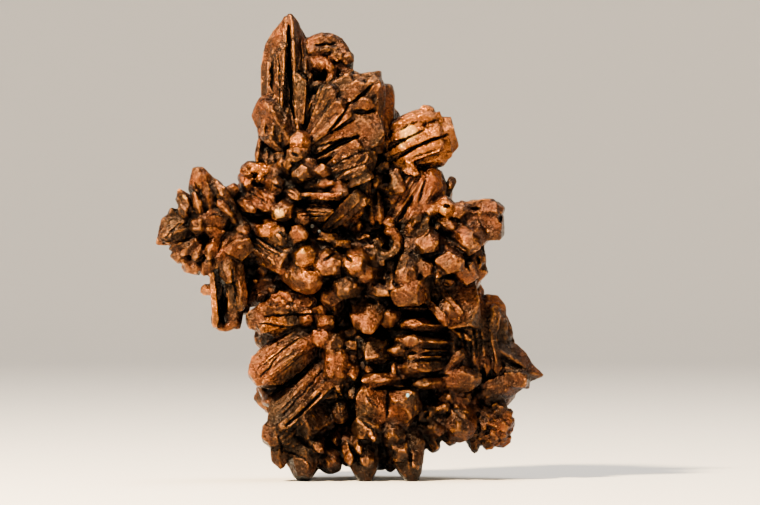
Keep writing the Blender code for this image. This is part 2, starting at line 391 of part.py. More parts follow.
FEET = (
    ("gable", (1.3, -1.4, 9.4), (2.4, -5.2, -0.5), 5.4, 4.4),
    ("bullet", (-0.3, -3.0, 8.0), (-0.5, -6.2, 3.2), 1.1, 1.8),
    ("bullet", (0.1, -3.6, 7.8), (1.1, -6.8, 5.1), 1.0, 1.6),
    ("bullet", (1.8, -3.8, 5.8), (2.4, -6.8, 2.8), 1.1, 1.6),
    ("gable", (8.3, -1.6, 9.0), (9.6, -5.0, -0.5), 5.8, 4.8),
    ("block", (8.0, -3.6, 7.2), (8.0, -6.8, 4.2), 1.7, 1.8),
    ("knob", (10.2, -2.4, 8.6), (14.2, -4.6, 8.0), 3.6, 3.4),
    ("block", (11.2, 0.2, 9.4), (13.6, -1.0, 4.8), 4.2, 4.4),
    ("bullet", (13.4, 0.2, 9.0), (16.7, -1.0, 5.8), 1.8, 2.4),
    ("bullet", (10.4, -1.8, 11.0), (15.3, -4.4, 12.4), 1.7, 2.4),
    ("bullet", (12.0, -1.6, 13.4), (16.1, -3.8, 14.3), 1.3, 2.0),
    ("block", (17.2, -0.8, 14.2), (17.2, -4.4, 8.0), 3.8, 3.8),
    ("gable", (-6.0, 3.6, 12.0), (-7.4, 11.2, -0.6), 6.0, 5.6),
    ("gable", (2.0, 8.0, 12.0), (1.8, 15.0, -0.6), 5.8, 6.0),
    ("gable", (9.0, 6.0, 12.0), (9.0, 13.0, -0.6), 6.0, 5.6),
)

RIGHT_FLANK = (
    ("slab", (22.2, 2.4, 19.5), (22.2, 1.6, 29.3), 4.8, 3.8),
    ("bullet", (21.2, 1.0, 21.0), (23.8, 0.4, 27.6), 2.2, 2.8),
    ("bullet", (20.6, 1.4, 21.8), (29.0, 1.2, 17.4), 2.9, 3.6),
    ("gable", (25.4, 1.2, 17.6), (30.7, 1.2, 16.9), 3.2, 3.0),
    ("block", (18.4, 1.4, 16.0), (28.7, 1.4, 15.6), 3.6, 4.6),
    ("block", (25.0, 0.0, 15.9), (28.4, -1.0, 15.9), 2.2, 2.4),
    ("blade", (20.2, 0.0, 28.0), (21.2, -1.4, 19.6), 1.5, 2.8),
    ("blade", (21.6, 0.2, 24.6), (22.8, -1.0, 18.4), 1.2, 2.6),
    ("blade", (19.2, -0.6, 27.6), (19.8, -2.0, 18.8), 1.4, 2.8),
    ("knob", (19.6, 2.6, 14.6), (22.6, 2.0, 5.6), 6.8, 5.4),
    ("knob", (23.0, 1.0, 10.0), (26.2, 0.0, 8.4), 3.0, 3.0),
    ("knob", (23.2, 1.0, 8.0), (24.6, -0.4, 5.8), 2.4, 2.6),
    ("knob", (19.4, 1.2, 7.4), (19.8, 0.0, 4.5), 2.9, 3.0),
    ("knob", (21.4, 1.0, 7.6), (21.8, -0.4, 5.0), 2.2, 2.4),
    ("knob", (23.0, 1.4, 12.0), (25.2, 0.4, 11.2), 2.2, 2.6),
    ("knob", (20.4, 0.4, 10.0), (21.4, -1.4, 8.4), 1.8, 2.0),
)

GROUPS = (
    SPIRE,
    HEAD,
    FAN,
    SHELL,
    SHOULDER,
    CROWD,
    LEFT_ARM,
    BAND,
    GOLDEN_BLOCK,
    RIGHT_ARM,
    LEFT_BLADES,
    LOW_MIDDLE,
    LEDGES,
    LOW_BLOCK,
    FEET,
    RIGHT_FLANK,
)


def comb(kind, first, last, count, width, thick):
    """Rows of ribs spread evenly from the first (start, end) to the last one."""
    rows = []
    for i in range(count):
        share = i / (count - 1)
        start = Vector(first[0]).lerp(Vector(last[0]), share)
        end = Vector(first[1]).lerp(Vector(last[1]), share)
        rows.append((kind, tuple(start), tuple(end), width, thick))
    return rows


def rib_rows():
    """The ribs under the shoulder and across the small lens in the crowd."""
    rows = comb(
        "blade",
        ((-14.0, -2.6, 58.4), (-13.5, -4.0, 54.4)),
        ((-9.2, -3.0, 56.8), (-8.9, -4.4, 54.4)),
        5, 0.75, 2.2,
    )
    rows += comb(
        "blade",
        ((-14.5, -1.8, 53.8), (-14.5, -2.8, 50.4)),
        ((-11.9, -2.2, 52.8), (-11.9, -3.4, 50.2)),
        4, 0.6, 1.8,
    )
    rows += comb(
        "blade",
        ((-8.6, -4.0, 43.9), (-4.9, -7.4, 43.7)),
        ((-7.8, -4.0, 42.2), (-3.3, -7.4, 42.1)),
        3, 0.65, 2.8,
    )
    return rows


def fan_rows(root, heading, length, width, count, spread):
    """A burr of crystals round one heading: the middle one is the longest."""
    root = Vector(root)
    heading = Vector(heading).normalized()
    across = heading.orthogonal().normalized()
    rows = []
    for i in range(count):
        share = i / (count - 1)
        tilt = math.radians(spread) * math.sqrt(share)
        side = Quaternion(heading, i * GOLDEN_ANGLE) @ across
        along = heading * math.cos(tilt) + side * math.sin(tilt)
        reach = length * (1.0 - FAN_SHORTER * share + FAN_UNEVEN_LENGTH * math.sin(5 * i))
        wide = width * (1.0 + FAN_UNEVEN_WIDTH * math.sin(3 * i))
        thick = wide * (FAN_FLATNESS + FAN_UNEVEN_WIDTH * math.cos(4 * i))
        kind = FAN_KINDS[i % len(FAN_KINDS)]
        start = root + along * reach * FAN_ROOT
        rows.append((kind, tuple(start), tuple(root + along * reach), wide, thick))
    return rows


def unit_crystal(kind, width):
    """A crystal of unit width and thickness from z 0 to 1."""
    bm = bmesh.new()
    if kind == "knob":
        bmesh.ops.create_icosphere(bm, subdivisions=2 if width > FINE_KNOB_WIDTH else 1, radius=0.5)
        bmesh.ops.translate(bm, vec=(0, 0, 0.5), verts=bm.verts)
        return bm
    sides, rings = PROFILES[kind]
    corner = 0.5 / math.cos(math.pi / sides)
    (low, low_width), (high, high_width) = rings[:2]
    bmesh.ops.create_cone(
        bm, cap_ends=True, segments=sides, depth=high - low,
        radius1=corner * low_width, radius2=corner * high_width,
    )
    bmesh.ops.translate(bm, vec=(0, 0, (low + high) / 2), verts=bm.verts)
    if sides == 4 and kind != "spear":
        turn = Matrix.Rotation(math.pi / sides, 3, "Z")
        bmesh.ops.rotate(bm, cent=(0, 0, 0), matrix=turn, verts=bm.verts)
    for (z_before, width_before), (z, ring_width) in zip(rings[1:], rings[2:]):
        top = max(bm.faces, key=lambda face: face.calc_center_median().z)
        made = bmesh.ops.extrude_discrete_faces(bm, faces=[top])["faces"][0]
        shrink = ring_width / width_before
        bmesh.ops.scale(bm, vec=(shrink, shrink, 1), verts=made.verts)
        bmesh.ops.translate(bm, vec=(0, 0, z - z_before), verts=made.verts)
    return bm


def crystal_matrix(start, end, width, thick):
    """Places a unit crystal: its length from start to end, its width across the front view."""
    axis = end - start
    length = axis.length
    axis = axis / length
    depth = Vector((0, 1, 0)) if abs(axis.y) < 0.9 else Vector((0, 0, -1))
    side = depth.cross(axis).normalized()
    front = axis.cross(side)
    turn = Matrix((side, front, axis)).transposed().to_4x4()
    return Matrix.Translation(start) @ turn @ Matrix.Diagonal((width, thick, length, 1))


def lean(point, skew):
    """Bends a unit crystal's upper half sideways, so that no two ends are alike."""
    above = max(0.0, point.z - LEAN_FROM)
    return Vector((point.x + skew[0] * above, point.y + skew[1] * above, point.z))


def grown_place(point):
    """A point of the rows with the slow waviness of grown faces, in the part's own frame."""
    wavy = point + WARP_SIZE * noise.noise_vector(point / WARP_SPACING)
    return (wavy - FOOTPRINT_MIDDLE) * UNIT


def rooted(start, end):
    """The start of a crystal that points out of the mass is sunk deeper into it."""
    axis = (end - start).normalized()
    return start + Vector((0, ROOT_DEPTH, 0)) if axis.y < -STEEP else start


def add_crystal(name, row, number, collection):
    kind, start, end, width, thick = row
    start, end = rooted(Vector(start), Vector(end)), Vector(end)
    width, thick = width * SWELL, thick * SWELL
    bm = unit_crystal(kind, width)
    draw = random.Random(number)
    skew = (draw.uniform(-LEAN, LEAN), draw.uniform(-LEAN, LEAN))
    place = crystal_matrix(start, end, width, thick)
    for vert in bm.verts:
        vert.co = grown_place(place @ lean(vert.co, skew))
    bmesh.ops.recalc_face_normals(bm, faces=bm.faces)
    mesh = bpy.data.meshes.new(name)
    bm.to_mesh(mesh)
    bm.free()
    obj = bpy.data.objects.new(name, mesh)
    collection.objects.link(obj)
    return obj


def add_lump(name, centre, radii):
    bm = bmesh.new()
    bmesh.ops.create_icosphere(bm, subdivisions=2 if max(radii) > LARGE_LUMP else 1, radius=1.0)
    for vert in bm.verts:
        vert.co = grown_place(Vector(c + v * r for c, v, r in zip(centre, vert.co, radii)))
    mesh = bpy.data.meshes.new(name)
    bm.to_mesh(mesh)
    bm.free()
    return bpy.data.objects.new(name, mesh)


def hide_as_helper(collection):
    collection.hide_render = True
    for obj in collection.objects:
        obj.hide_render = True
        obj.display_type = "WIRE"


def copper():
    material = bpy.data.materials.new("native copper")
    material.use_nodes = True
    shader = material.node_tree.nodes["Principled BSDF"]
    shader.inputs["Base Color"].default_value = COPPER_COLOUR
    shader.inputs["Metallic"].default_value = 1.0
    shader.inputs["Roughness"].default_value = COPPER_ROUGHNESS
    return material


def ground_cutter(collection):
    """What lies below the resting plane, which the lowest points are worn flat on."""
    bm = bmesh.new()
    bmesh.ops.create_cube(bm, size=1.0)
    bmesh.ops.scale(bm, vec=(GROUND_SIDE, GROUND_SIDE, GROUND_DEPTH), verts=bm.verts)
    bmesh.ops.translate(bm, vec=(0, 0, -GROUND_DEPTH / 2), verts=bm.verts)
    bmesh.ops.scale(bm, vec=(UNIT, UNIT, UNIT), verts=bm.verts)
    mesh = bpy.data.meshes.new("ground_cutter")
    bm.to_mesh(mesh)
    bm.free()
    obj = bpy.data.objects.new("ground_cutter", mesh)
    collection.objects.link(obj)
    return obj


def read_modifiers(obj):
    """Gives the object the mesh that its modifiers make."""
    graph = bpy.context.evaluated_depsgraph_get()
    mesh = bpy.data.meshes.new_from_object(obj.evaluated_get(graph))
    obj.modifiers.clear()
    obj.data = mesh


def outer_surface(bm):
    """Drops the closed pockets that the crystals leave inside."""
    left = set(bm.faces)
    shells = []
    while left:
        shell = [left.pop()]
        for face in shell:
            beside = {other for edge in face.edges for other in edge.link_faces}
            shell.extend(beside & left)
            left -= beside
        shells.append(shell)
    outer = max(shells, key=len)
    inner = [face for shell in shells if shell is not outer for face in shell]
    bmesh.ops.delete(bm, geom=inner, context="FACES")


def wedge_of(edge):
    """Two of an edge's four faces that have material between them, and the way into it."""
    low, high = (vert.co for vert in edge.verts)
    along = (high - low).normalized()
    across = along.orthogonal().normalized()
    upright = along.cross(across)
    around = []
    for face in edge.link_faces:
        far = next(vert.co for vert in face.verts if vert not in edge.verts) - low
        around.append((math.atan2(far.dot(upright), far.dot(across)), face, far))
    around.sort(key=lambda item: item[0])
    angle, face, _ = around[0]
    turning = upright * math.cos(angle) - across * math.sin(angle)
    other = around[1] if face.normal.dot(turning) < 0 else around[-1]
    inward = sum((far - along * far.dot(along) for far in (around[0][2], other[2])), Vector())
    return (face, other[1]), inward.normalized()


def part_touching_edges(bm):
    """Where two crystals only touch along an edge, a hair's gap opens between them."""
    while True:
        touching = next((edge for edge in bm.edges if len(edge.link_faces) == 4), None)
        if touching is None:
            return
        ends = tuple(touching.verts)
        wedge, inward = wedge_of(touching)
        middle = bm.verts.new((ends[0].co + ends[1].co) / 2 + inward * TOUCH_GAP)
        for face in wedge:
            corners = [loop.vert for loop in face.loops]
            for end in ends:
                bm.faces.new([middle if vert is end else vert for vert in corners])
        bmesh.ops.delete(bm, geom=wedge, context="FACES_ONLY")
        bm.normal_update()


def edit(obj, change):
    bm = bmesh.new()
    bm.from_mesh(obj.data)
    bmesh.ops.triangulate(bm, faces=bm.faces)
    change(bm)
    bm.to_mesh(obj.data)
    bm.free()


def join(nugget, grown):
    joined = nugget.modifiers.new("crystals joined", "BOOLEAN")
    joined.operation = "UNION"
    joined.operand_type = "COLLECTION"
    joined.collection = grown
    read_modifiers(nugget)
    edit(nugget, outer_surface)


def finish(nugget, cutters):
    fewer = nugget.modifiers.new("fewer faces", "DECIMATE")
    fewer.ratio = min(1.0, MOST_TRIANGLES / len(nugget.data.polygons))
    worn = nugget.modifiers.new("worn flat below", "BOOLEAN")
    worn.operation = "DIFFERENCE"
    worn.object = ground_cutter(cutters)
    read_modifiers(nugget)
    edit(nugget, outer_surface)
    edit(nugget, part_touching_edges)


def new_collection(name):
    collection = bpy.data.collections.new(name)
    bpy.context.scene.collection.children.link(collection)
    return collection


def build():
    for old in list(bpy.data.objects):
        bpy.data.objects.remove(old)
    shown = new_collection("native copper")
    grown = new_collection("crystals")
    cutters = new_collection("cutters")

    rows = [row for group in GROUPS for row in group] + rib_rows()
    for fan in BACK_FANS:
        rows += fan_rows(*fan)
    for number, row in enumerate(rows):
        add_crystal(f"crystal_{number}", row, number, grown)
    for number, (centre, radii) in enumerate(CORE[1:] + BEDS):
        grown.objects.link(add_lump(f"lump_{number}", centre, radii))
    nugget = add_lump("copper_nugget", *CORE[0])
    shown.objects.link(nugget)
    nugget.data.materials.append(copper())

    join(nugget, grown)
    finish(nugget, cutters)
    hide_as_helper(grown)
    hide_as_helper(cutters)


build()
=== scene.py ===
"""Looks of the native copper specimen: one cluster of copper crystals, standing on its lowest tips.

Metres, +Z up, -Y is the front. The crystals are rows in millimetres: those of the solid, and smaller ones
between them. Each row becomes a copy of a modelled crystal with worn edges. The crystals of each region are
grown into one skin, roughened, grooved, and given the finish.
"""

import math
import random

import bpy
from mathutils import Matrix, Quaternion, Vector, noise
from mathutils.bvhtree import BVHTree
from mathutils.kdtree import KDTree


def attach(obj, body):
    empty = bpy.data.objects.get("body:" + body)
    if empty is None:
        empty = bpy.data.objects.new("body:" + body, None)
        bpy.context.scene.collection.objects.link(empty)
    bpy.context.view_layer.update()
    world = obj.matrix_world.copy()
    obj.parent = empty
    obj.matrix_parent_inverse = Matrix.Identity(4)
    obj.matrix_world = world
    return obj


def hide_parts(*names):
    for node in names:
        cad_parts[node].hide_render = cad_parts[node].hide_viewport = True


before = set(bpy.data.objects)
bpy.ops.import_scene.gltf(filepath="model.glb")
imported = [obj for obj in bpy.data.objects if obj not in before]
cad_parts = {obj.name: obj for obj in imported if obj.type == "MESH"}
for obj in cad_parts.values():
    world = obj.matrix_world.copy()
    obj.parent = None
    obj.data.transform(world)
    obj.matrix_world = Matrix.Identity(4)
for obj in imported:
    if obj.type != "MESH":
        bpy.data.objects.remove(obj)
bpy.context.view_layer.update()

MM = 0.001
NODE = "copper_nugget"

# The origin of the part, in the rows' millimetres: the middle of the footprint, on the resting plane.
FOOTPRINT_MIDDLE = Vector((0.0, 3.8, 0.0))

# The photograph's frame: what the camera aims at, and how wide the view is there, in millimetres.
AIM = Vector((4.72, 0.0, 36.24))
VIEW_WIDTH = 121.6
LENS = 250.0
SENSOR = 36.0

# How grown faces stray from flat ones, and over what distance. Blender starts its vector noise from the
# clock unless it is given a seed.
NOISE_SEED = 7
WARP_SIZE = 0.28
WARP_SPACING = 3.1

# Crystals are a little wider than their rows, so that they meet, and lean by chance from this share of their
# length on. Those that point at the viewer are stouter, and rooted deeper.
SWELL = 1.06
LEAN = 0.10
LEAN_FROM = 0.4
STEEP = 0.4
STEEP_SWELL = 1.24
ROOT_DEPTH = 3.5

# In a fan, the crystals turn by the golden angle, and get shorter and uneven outwards.
GOLDEN_ANGLE = math.radians(137.5)
FAN_KINDS = ("gable", "bullet", "block", "bullet", "slab")
FAN_ROOT = 0.2
FAN_SHORTER = 0.22
FAN_UNEVEN_LENGTH = 0.1
FAN_UNEVEN_WIDTH = 0.18
FAN_FLATNESS = 0.78

# The studio's floor in metres: its flat part, the curve of its rim, and the wall.
FLOOR_RADIUS = 0.9
FLOOR_CURVE = 0.5
FLOOR_STEPS = 10
FLOOR_WALL = 0.9
FLOOR_SIDES = 96

# The lamps: place and size in metres, power in watts and colour. All face the middle of the specimen.
LAMPS = (
    ("key", (-0.22, -0.25, 0.36), 0.045, 20.0, "#ffdfb0"),
    ("fill", (0.36, -0.40, 0.20), 0.12, 0.3, "#ffe6cc"),
    ("top", (0.08, 0.12, 0.50), 0.2, 1.6, "#fff4e6"),
    ("ceiling", (0.0, 0.0, 1.3), 0.5, 20.0, "#fffaf4"),
)
LAMP_AIM = Vector((0.0, 0.0, 0.036))
WORLD_STRENGTH = 0.05

# A sheaf is a bundle of ribs, each about a rib's width, over a fuller crystal that joins them. The rest are
# shares of the sheaf: how far ribs stand out, start late, gather at the root and end short at the sides.
RIB_WIDTH = 1.0
MOST_RIBS = 4
JOINING_WIDTH = 0.96
JOINING_THICKNESS = 0.8
RIB_LIFT = 0.16
RIB_LATEST_START = 0.08
RIB_GATHER = 0.7
RIB_REACHES = (0.84, 1.0)
RIB_SHORTER_ASIDE = 0.12
RIB_WIDTHS = (0.95, 1.25)
RIB_THICKNESSES = (0.85, 1.0)

# Masses lie a little behind the crystals, with shallow seams between the cobbles that they are made of.
SET_BACK = 1.2
COBBLE_SIZE = 2.3
COBBLE_HEIGHT = 0.7
COBBLE_SINK = 0.6
COBBLE_SEAM = 0.3
COBBLED_KNOB = 4.4
LARGE_MASS = 6.0

# Small crystals that fill the gaps on a mass: how far apart, their size in mm, and how much each strays.
FILLER_KINDS = ("bullet", "petal", "block", "bullet", "knob")
FILLER_SPACING = 2.5
FILLER_WIDTH = 2.0
FILLER_LENGTH = 4.0
FILLER_RISE = 1.2
FILLER_STRAY = 0.5
FILLER_RISES = (0.4, 1.3)
FILLER_WIDTHS = (0.7, 1.35)
FILLER_THICKNESSES = (0.7, 1.2)
BACK_SIZE = 1.6
GAP_SIZE = 0.85
BACK_INSET = 1.5

# A crust of grains on a lump: how crowded, how much they stray, and their sizes as shares of a grain.
CRUMB_KINDS = ("block", "bullet", "knob", "petal")
CRUMB_CROWD = 2.2
CRUMB_LUMP = 0.9
CRUMB_STRAY = 0.9
CRUMB_ROOT = 1.2
CRUMB_RISES = (0.2, 0.6)
CRUMB_WIDTHS = (0.6, 1.3)
CRUMB_THICKNESSES = (0.6, 1.1)

# Beads along an arc: the step between them and their half-length, as shares of the thickness.
BEAD_STEP = 0.3
BEAD_REACH = 0.6

# Fine grooves along long crystals, in mm, and where they run, as shares of the crystal.
STRIATED = ("wedge", "leaf", "spear", "lobe")
SHORTEST_STRIATED = 5.0
NARROWEST_STRIATED = 1.4
STRIA_SPACING = 1.3
STRIA_WIDTH = 0.3
STRIA_DEPTH = 0.16
STRIA_ASIDE = 0.4
STRIA_STARTS = (0.25, 0.5)
STRIA_ENDS = (0.7, 0.95)
STRIA_GATHER = 0.6
STRIA_WIDTHS = (0.8, 1.4)
STRIA_DEPTHS = (0.6, 1.4)

# Grain of the skin: the finest cell of the grown surface, and its lumps and grit.
CELL = 0.19 * MM
BACK_CELL = 0.28 * MM
MOST_FACES = 150000
CRISP = math.radians(24)
LUMP_SIZE, LUMP_HEIGHT = 1.1 * MM, 0.13 * MM
GRIT_SIZE, GRIT_HEIGHT = 0.38 * MM, 0.1 * MM

# How crystals are modelled, as shares of their width, and how many of each kind differ.
TINY = 0.001
EDGE_WEAR = 0.035
KNOB_BEVEL = 0.25
KNOB_WEAR = 0.04
CUT_STRAY = 0.3
VARIANTS = 3

# Each kind: sides of its cross-section, and how wide it is at each share of its length.
PROFILES = {
    "bullet": (6, ((0.0, 0.72), (0.5, 0.97), (1.0, 1.0))),
    "petal": (6, ((0.0, 0.55), (0.36, 0.92), (0.62, 1.0), (1.0, 0.8))),
    "lobe": (7, ((0.0, 0.66), (0.4, 0.92), (0.7, 1.0), (1.0, 0.9))),
    "leaf": (4, ((0.0, 0.95), (0.6, 1.0), (0.78, 0.84), (0.91, 0.5), (1.0, 0.16))),
    "wedge": (4, ((0.0, 0.34), (0.5, 0.72), (0.86, 1.0), (1.0, 0.9))),
    "shield": (6, ((0.0, 0.85), (0.42, 1.0), (0.8, 0.6), (1.0, 0.22))),
    "spear": (4, ((0.0, 0.85), (0.5, 1.0), (1.0, 0.12))),
    "blade": (4, ((0.0, 0.8), (0.8, 1.0), (1.0, 0.9))),
    "slab": (6, ((0.0, 0.9), (0.8, 1.0), (1.0, 0.9))),
    "block": (4, ((0.0, 0.85), (0.5, 1.0), (1.0, 0.94))),
    "gable": (6, ((0.0, 0.8), (0.5, 1.0), (0.76, 0.8), (0.93, 0.44), (1.0, 0.18))),
}
RIDGED = ("spear", "leaf")

# The flat faces that end each kind: how many, their tilts off the axis in degrees, and how far out
# they leave the end whole. Then the tilt of the last face.
CUTS = {
    "bullet": (5, (40.0, 62.0), (0.08, 0.3), (6.0, 26.0)),
    "petal": (6, (56.0, 72.0), (0.02, 0.2), (10.0, 30.0)),
    "lobe": (8, (42.0, 74.0), (0.12, 0.34), (8.0, 26.0)),
    "wedge": (4, (40.0, 60.0), (0.16, 0.4), (4.0, 22.0)),
    "blade": (4, (40.0, 60.0), (0.16, 0.4), (4.0, 22.0)),
    "slab": (5, (40.0, 64.0), (0.16, 0.4), (4.0, 22.0)),
    "block": (5, (46.0, 70.0), (0.3, 0.5), (4.0, 16.0)),
}

# Lengths over width that crystals are modelled at, so that their worn edges keep their width.
ASPECTS = (1.2, 2.4, 4.5, 8.0)

# The mass that the crystals grow from: centre and half-sizes of each lump.
CORE = (
    ((5.0, 5.0, 17.0), (13.0, 9.5, 11.0)),
    ((-6.0, 2.5, 16.0), (7.5, 6.5, 9.0)),
    ((14.0, 4.5, 24.0), (8.0, 7.5, 9.5)),
    ((2.0, 4.5, 34.0), (12.5, 8.5, 10.0)),
    ((-4.0, 3.0, 50.0), (8.0, 6.5, 11.0)),
    ((-15.0, 0.0, 41.0), (8.0, 4.0, 4.5)),
)

# Flatter lumps right behind each group of crystals, which its crystals spring from.
BEDS = (
    ((-3.0, -0.6, 66.4), (3.0, 2.2, 4.0)),
    ((-0.6, -1.4, 58.4), (5.4, 3.0, 6.0)),
    ((5.4, -0.2, 57.0), (1.9, 2.4, 6.0)),
    ((0.2, -2.8, 49.6), (3.9, 3.6, 4.4)),
    ((-8.4, -1.8, 47.6), (6.2, 4.0, 6.6)),
    ((-12.6, 0.6, 32.0), (4.6, 3.2, 4.0)),
    ((-12.0, -2.0, 38.0), (5.4, 3.4, 3.8)),
    ((-5.4, -2.8, 35.4), (5.6, 4.6, 4.4)),
    ((1.6, -2.8, 33.4), (5.6, 4.6, 5.4)),
    ((0.6, -1.2, 41.4), (6.0, 3.6, 4.4)),
    ((11.4, -0.2, 54.2), (4.5, 3.0, 4.0)),
    ((11.2, 0.4, 45.6), (4.4, 3.2, 5.2)),
    ((6.4, -0.2, 49.6), (3.2, 2.8, 5.4)),
    ((12.4, -2.4, 35.6), (5.6, 4.2, 6.4)),
    ((20.2, -1.6, 41.2), (4.2, 3.0, 2.9)),
    ((17.6, -0.8, 33.6), (3.8, 3.6, 4.2)),
    ((-8.6, -0.8, 23.4), (6.6, 3.8, 4.6)),
    ((-6.4, -1.8, 12.6), (5.8, 3.8, 7.0)),
    ((-1.0, -1.8, 18.4), (3.4, 3.6, 6.8)),
    ((11.0, -1.4, 20.4), (7.0, 4.2, 6.2)),
    ((5.6, -1.6, 10.8), (5.4, 4.2, 4.8)),
    ((4.6, -0.2, 6.2), (6.6, 3.6, 3.6)),
    ((3.4, 5.0, 6.4), (9.0, 6.4, 4.9)),
    ((-7.0, 3.2, 6.6), (4.4, 5.6, 4.8)),
    ((22.2, 1.8, 21.4), (3.8, 3.2, 6.8)),
    ((24.4, 1.4, 17.2), (3.8, 2.4, 2.6)),
    ((16.2, -1.2, 11.8), (3.2, 3.4, 5.2)),
)

# Fans of crystals that cover the back: where each springs from, its heading, length, width, count and spread.
BACK_FANS = (
    ((-9.8, 0.6, 57.0), (0.0, 0.3, 0.95), 13.0, 4.0, 4, 22.0),
    ((-2.6, 0.6, 61.0), (0.1, 0.8, 0.6), 7.0, 3.4, 6, 50.0),
    ((2.0, 1.0, 56.0), (0.15, 0.9, 0.4), 8.0, 3.8, 7, 58.0),
    ((-7.0, 3.0, 53.0), (-0.15, 0.95, 0.2), 8.5, 4.4, 8, 62.0),
    ((-3.0, 4.0, 46.0), (-0.1, 1.0, 0.0), 9.5, 4.8, 8, 66.0),
    ((11.0, 1.0, 54.0), (0.05, 0.95, 0.2), 6.0, 3.4, 7, 56.0),
    ((-23.4, -1.8, 41.6), (-0.15, 0.9, 0.2), 6.0, 3.2, 8, 64.0),
    ((-16.0, -0.4, 41.4), (0.0, 1.0, 0.0), 7.0, 3.8, 7, 64.0),
    ((-18.8, -1.8, 30.4), (0.0, 1.0, -0.1), 4.2, 2.6, 6, 50.0),
    ((10.4, 2.0, 45.0), (0.1, 0.95, 0.1), 8.0, 4.4, 8, 60.0),
    ((19.4, -0.4, 40.4), (0.15, 0.95, 0.05), 6.0, 3.6, 7, 58.0),
    ((-1.0, 5.0, 37.0), (-0.2, 1.0, 0.1), 11.0, 5.4, 9, 68.0),
    ((9.6, 5.6, 33.0), (0.3, 0.95, 0.1), 10.0, 5.2, 8, 64.0),
    ((-8.0, 2.0, 27.0), (-0.3, 0.9, 0.1), 7.6, 4.4, 8, 62.0),
    ((17.0, 3.2, 26.0), (0.35, 0.9, 0.1), 8.5, 4.6, 8, 62.0),
    ((-8.0, 2.6, 16.0), (-0.3, 0.95, 0.0), 8.0, 4.8, 9, 64.0),
    ((2.0, 7.0, 23.0), (-0.05, 1.0, 0.0), 11.0, 5.8, 9, 70.0),
    ((11.0, 6.6, 15.0), (0.25, 0.95, -0.1), 9.0, 5.2, 8, 64.0),
    ((20.6, 2.6, 14.0), (0.25, 0.95, 0.0), 7.0, 4.0, 8, 58.0),
    ((-5.0, 4.4, 8.0), (-0.2, 1.0, -0.1), 7.0, 4.4, 7, 56.0),
    ((4.0, 8.0, 10.0), (0.0, 1.0, -0.2), 8.5, 4.8, 8, 60.0),
)

SPIRE = (
    ("leaf", (-11.2, -2.0, 54.0), (-10.2, -1.8, 73.8), 3.5, 4.4),
    ("leaf", (-8.2, -2.0, 54.0), (-9.5, -1.8, 74.3), 3.6, 4.6),
    ("leaf", (-9.9, 0.6, 54.0), (-9.6, -0.2, 73.6), 6.2, 3.4),
    ("blade", (-12.7, -1.4, 56.0), (-12.7, -1.0, 66.6), 1.1, 3.2),
    ("bullet", (-11.8, -3.2, 56.0), (-11.6, -3.0, 68.4), 0.9, 1.8),
    ("bullet", (-10.8, -4.0, 56.0), (-10.7, -3.6, 69.6), 1.2, 1.6),
    ("block", (-7.9, -4.2, 56.5), (-7.8, -4.2, 64.8), 1.6, 2.0),
    ("spear", (-7.3, -1.4, 61.0), (-6.8, -1.2, 70.6), 2.2, 3.4),
    ("petal", (-6.9, -2.6, 60.0), (-6.6, -3.2, 65.2), 1.3, 2.0),
)

HEAD = (
    ("knob", (-5.4, -0.4, 67.2), (-0.6, -0.4, 66.8), 4.4, 4.4),
    ("lobe", (-6.2, -0.8, 66.4), (-0.6, -1.4, 67.6), 3.4, 3.4),
    ("lobe", (-5.6, -0.8, 68.0), (-1.4, -0.8, 68.6), 2.6, 3.0),
    ("knob", (-4.6, -0.6, 68.2), (-2.0, -0.6, 68.6), 3.6, 3.6),
    ("block", (-5.6, -1.2, 65.4), (-5.8, -3.2, 69.0), 1.8, 2.0),
    ("petal", (-5.4, -2.4, 68.2), (-2.4, -3.4, 68.8), 1.2, 1.8),
    ("block", (-5.0, -0.8, 63.4), (-5.2, -3.2, 67.2), 2.4, 2.4),
    ("bullet", (-3.2, -0.6, 63.2), (-3.5, -2.8, 66.8), 2.3, 2.4),
    ("bullet", (-4.4, -2.0, 63.8), (-4.6, -3.8, 66.7), 1.4, 1.8),
    ("bullet", (-2.2, -1.6, 65.2), (-2.0, -3.8, 68.3), 2.0, 2.0),
    ("bullet", (-0.8, -1.6, 64.6), (-0.5, -3.4, 67.6), 1.9, 2.0),
    ("petal", (-3.9, -3.0, 67.2), (-2.7, -4.0, 64.6), 1.2, 1.8),
    ("petal", (-2.4, -3.0, 65.8), (-3.6, -4.0, 62.6), 1.3, 1.8),
    ("petal", (-6.6, -2.8, 62.4), (-3.8, -3.6, 63.1), 1.5, 1.8),
    ("petal", (-2.2, -2.2, 63.2), (0.4, -2.8, 65.4), 1.8, 2.0),
    ("knob", (-3.0, 0.6, 61.5), (-3.0, 0.6, 68.8), 5.0, 4.2),
)

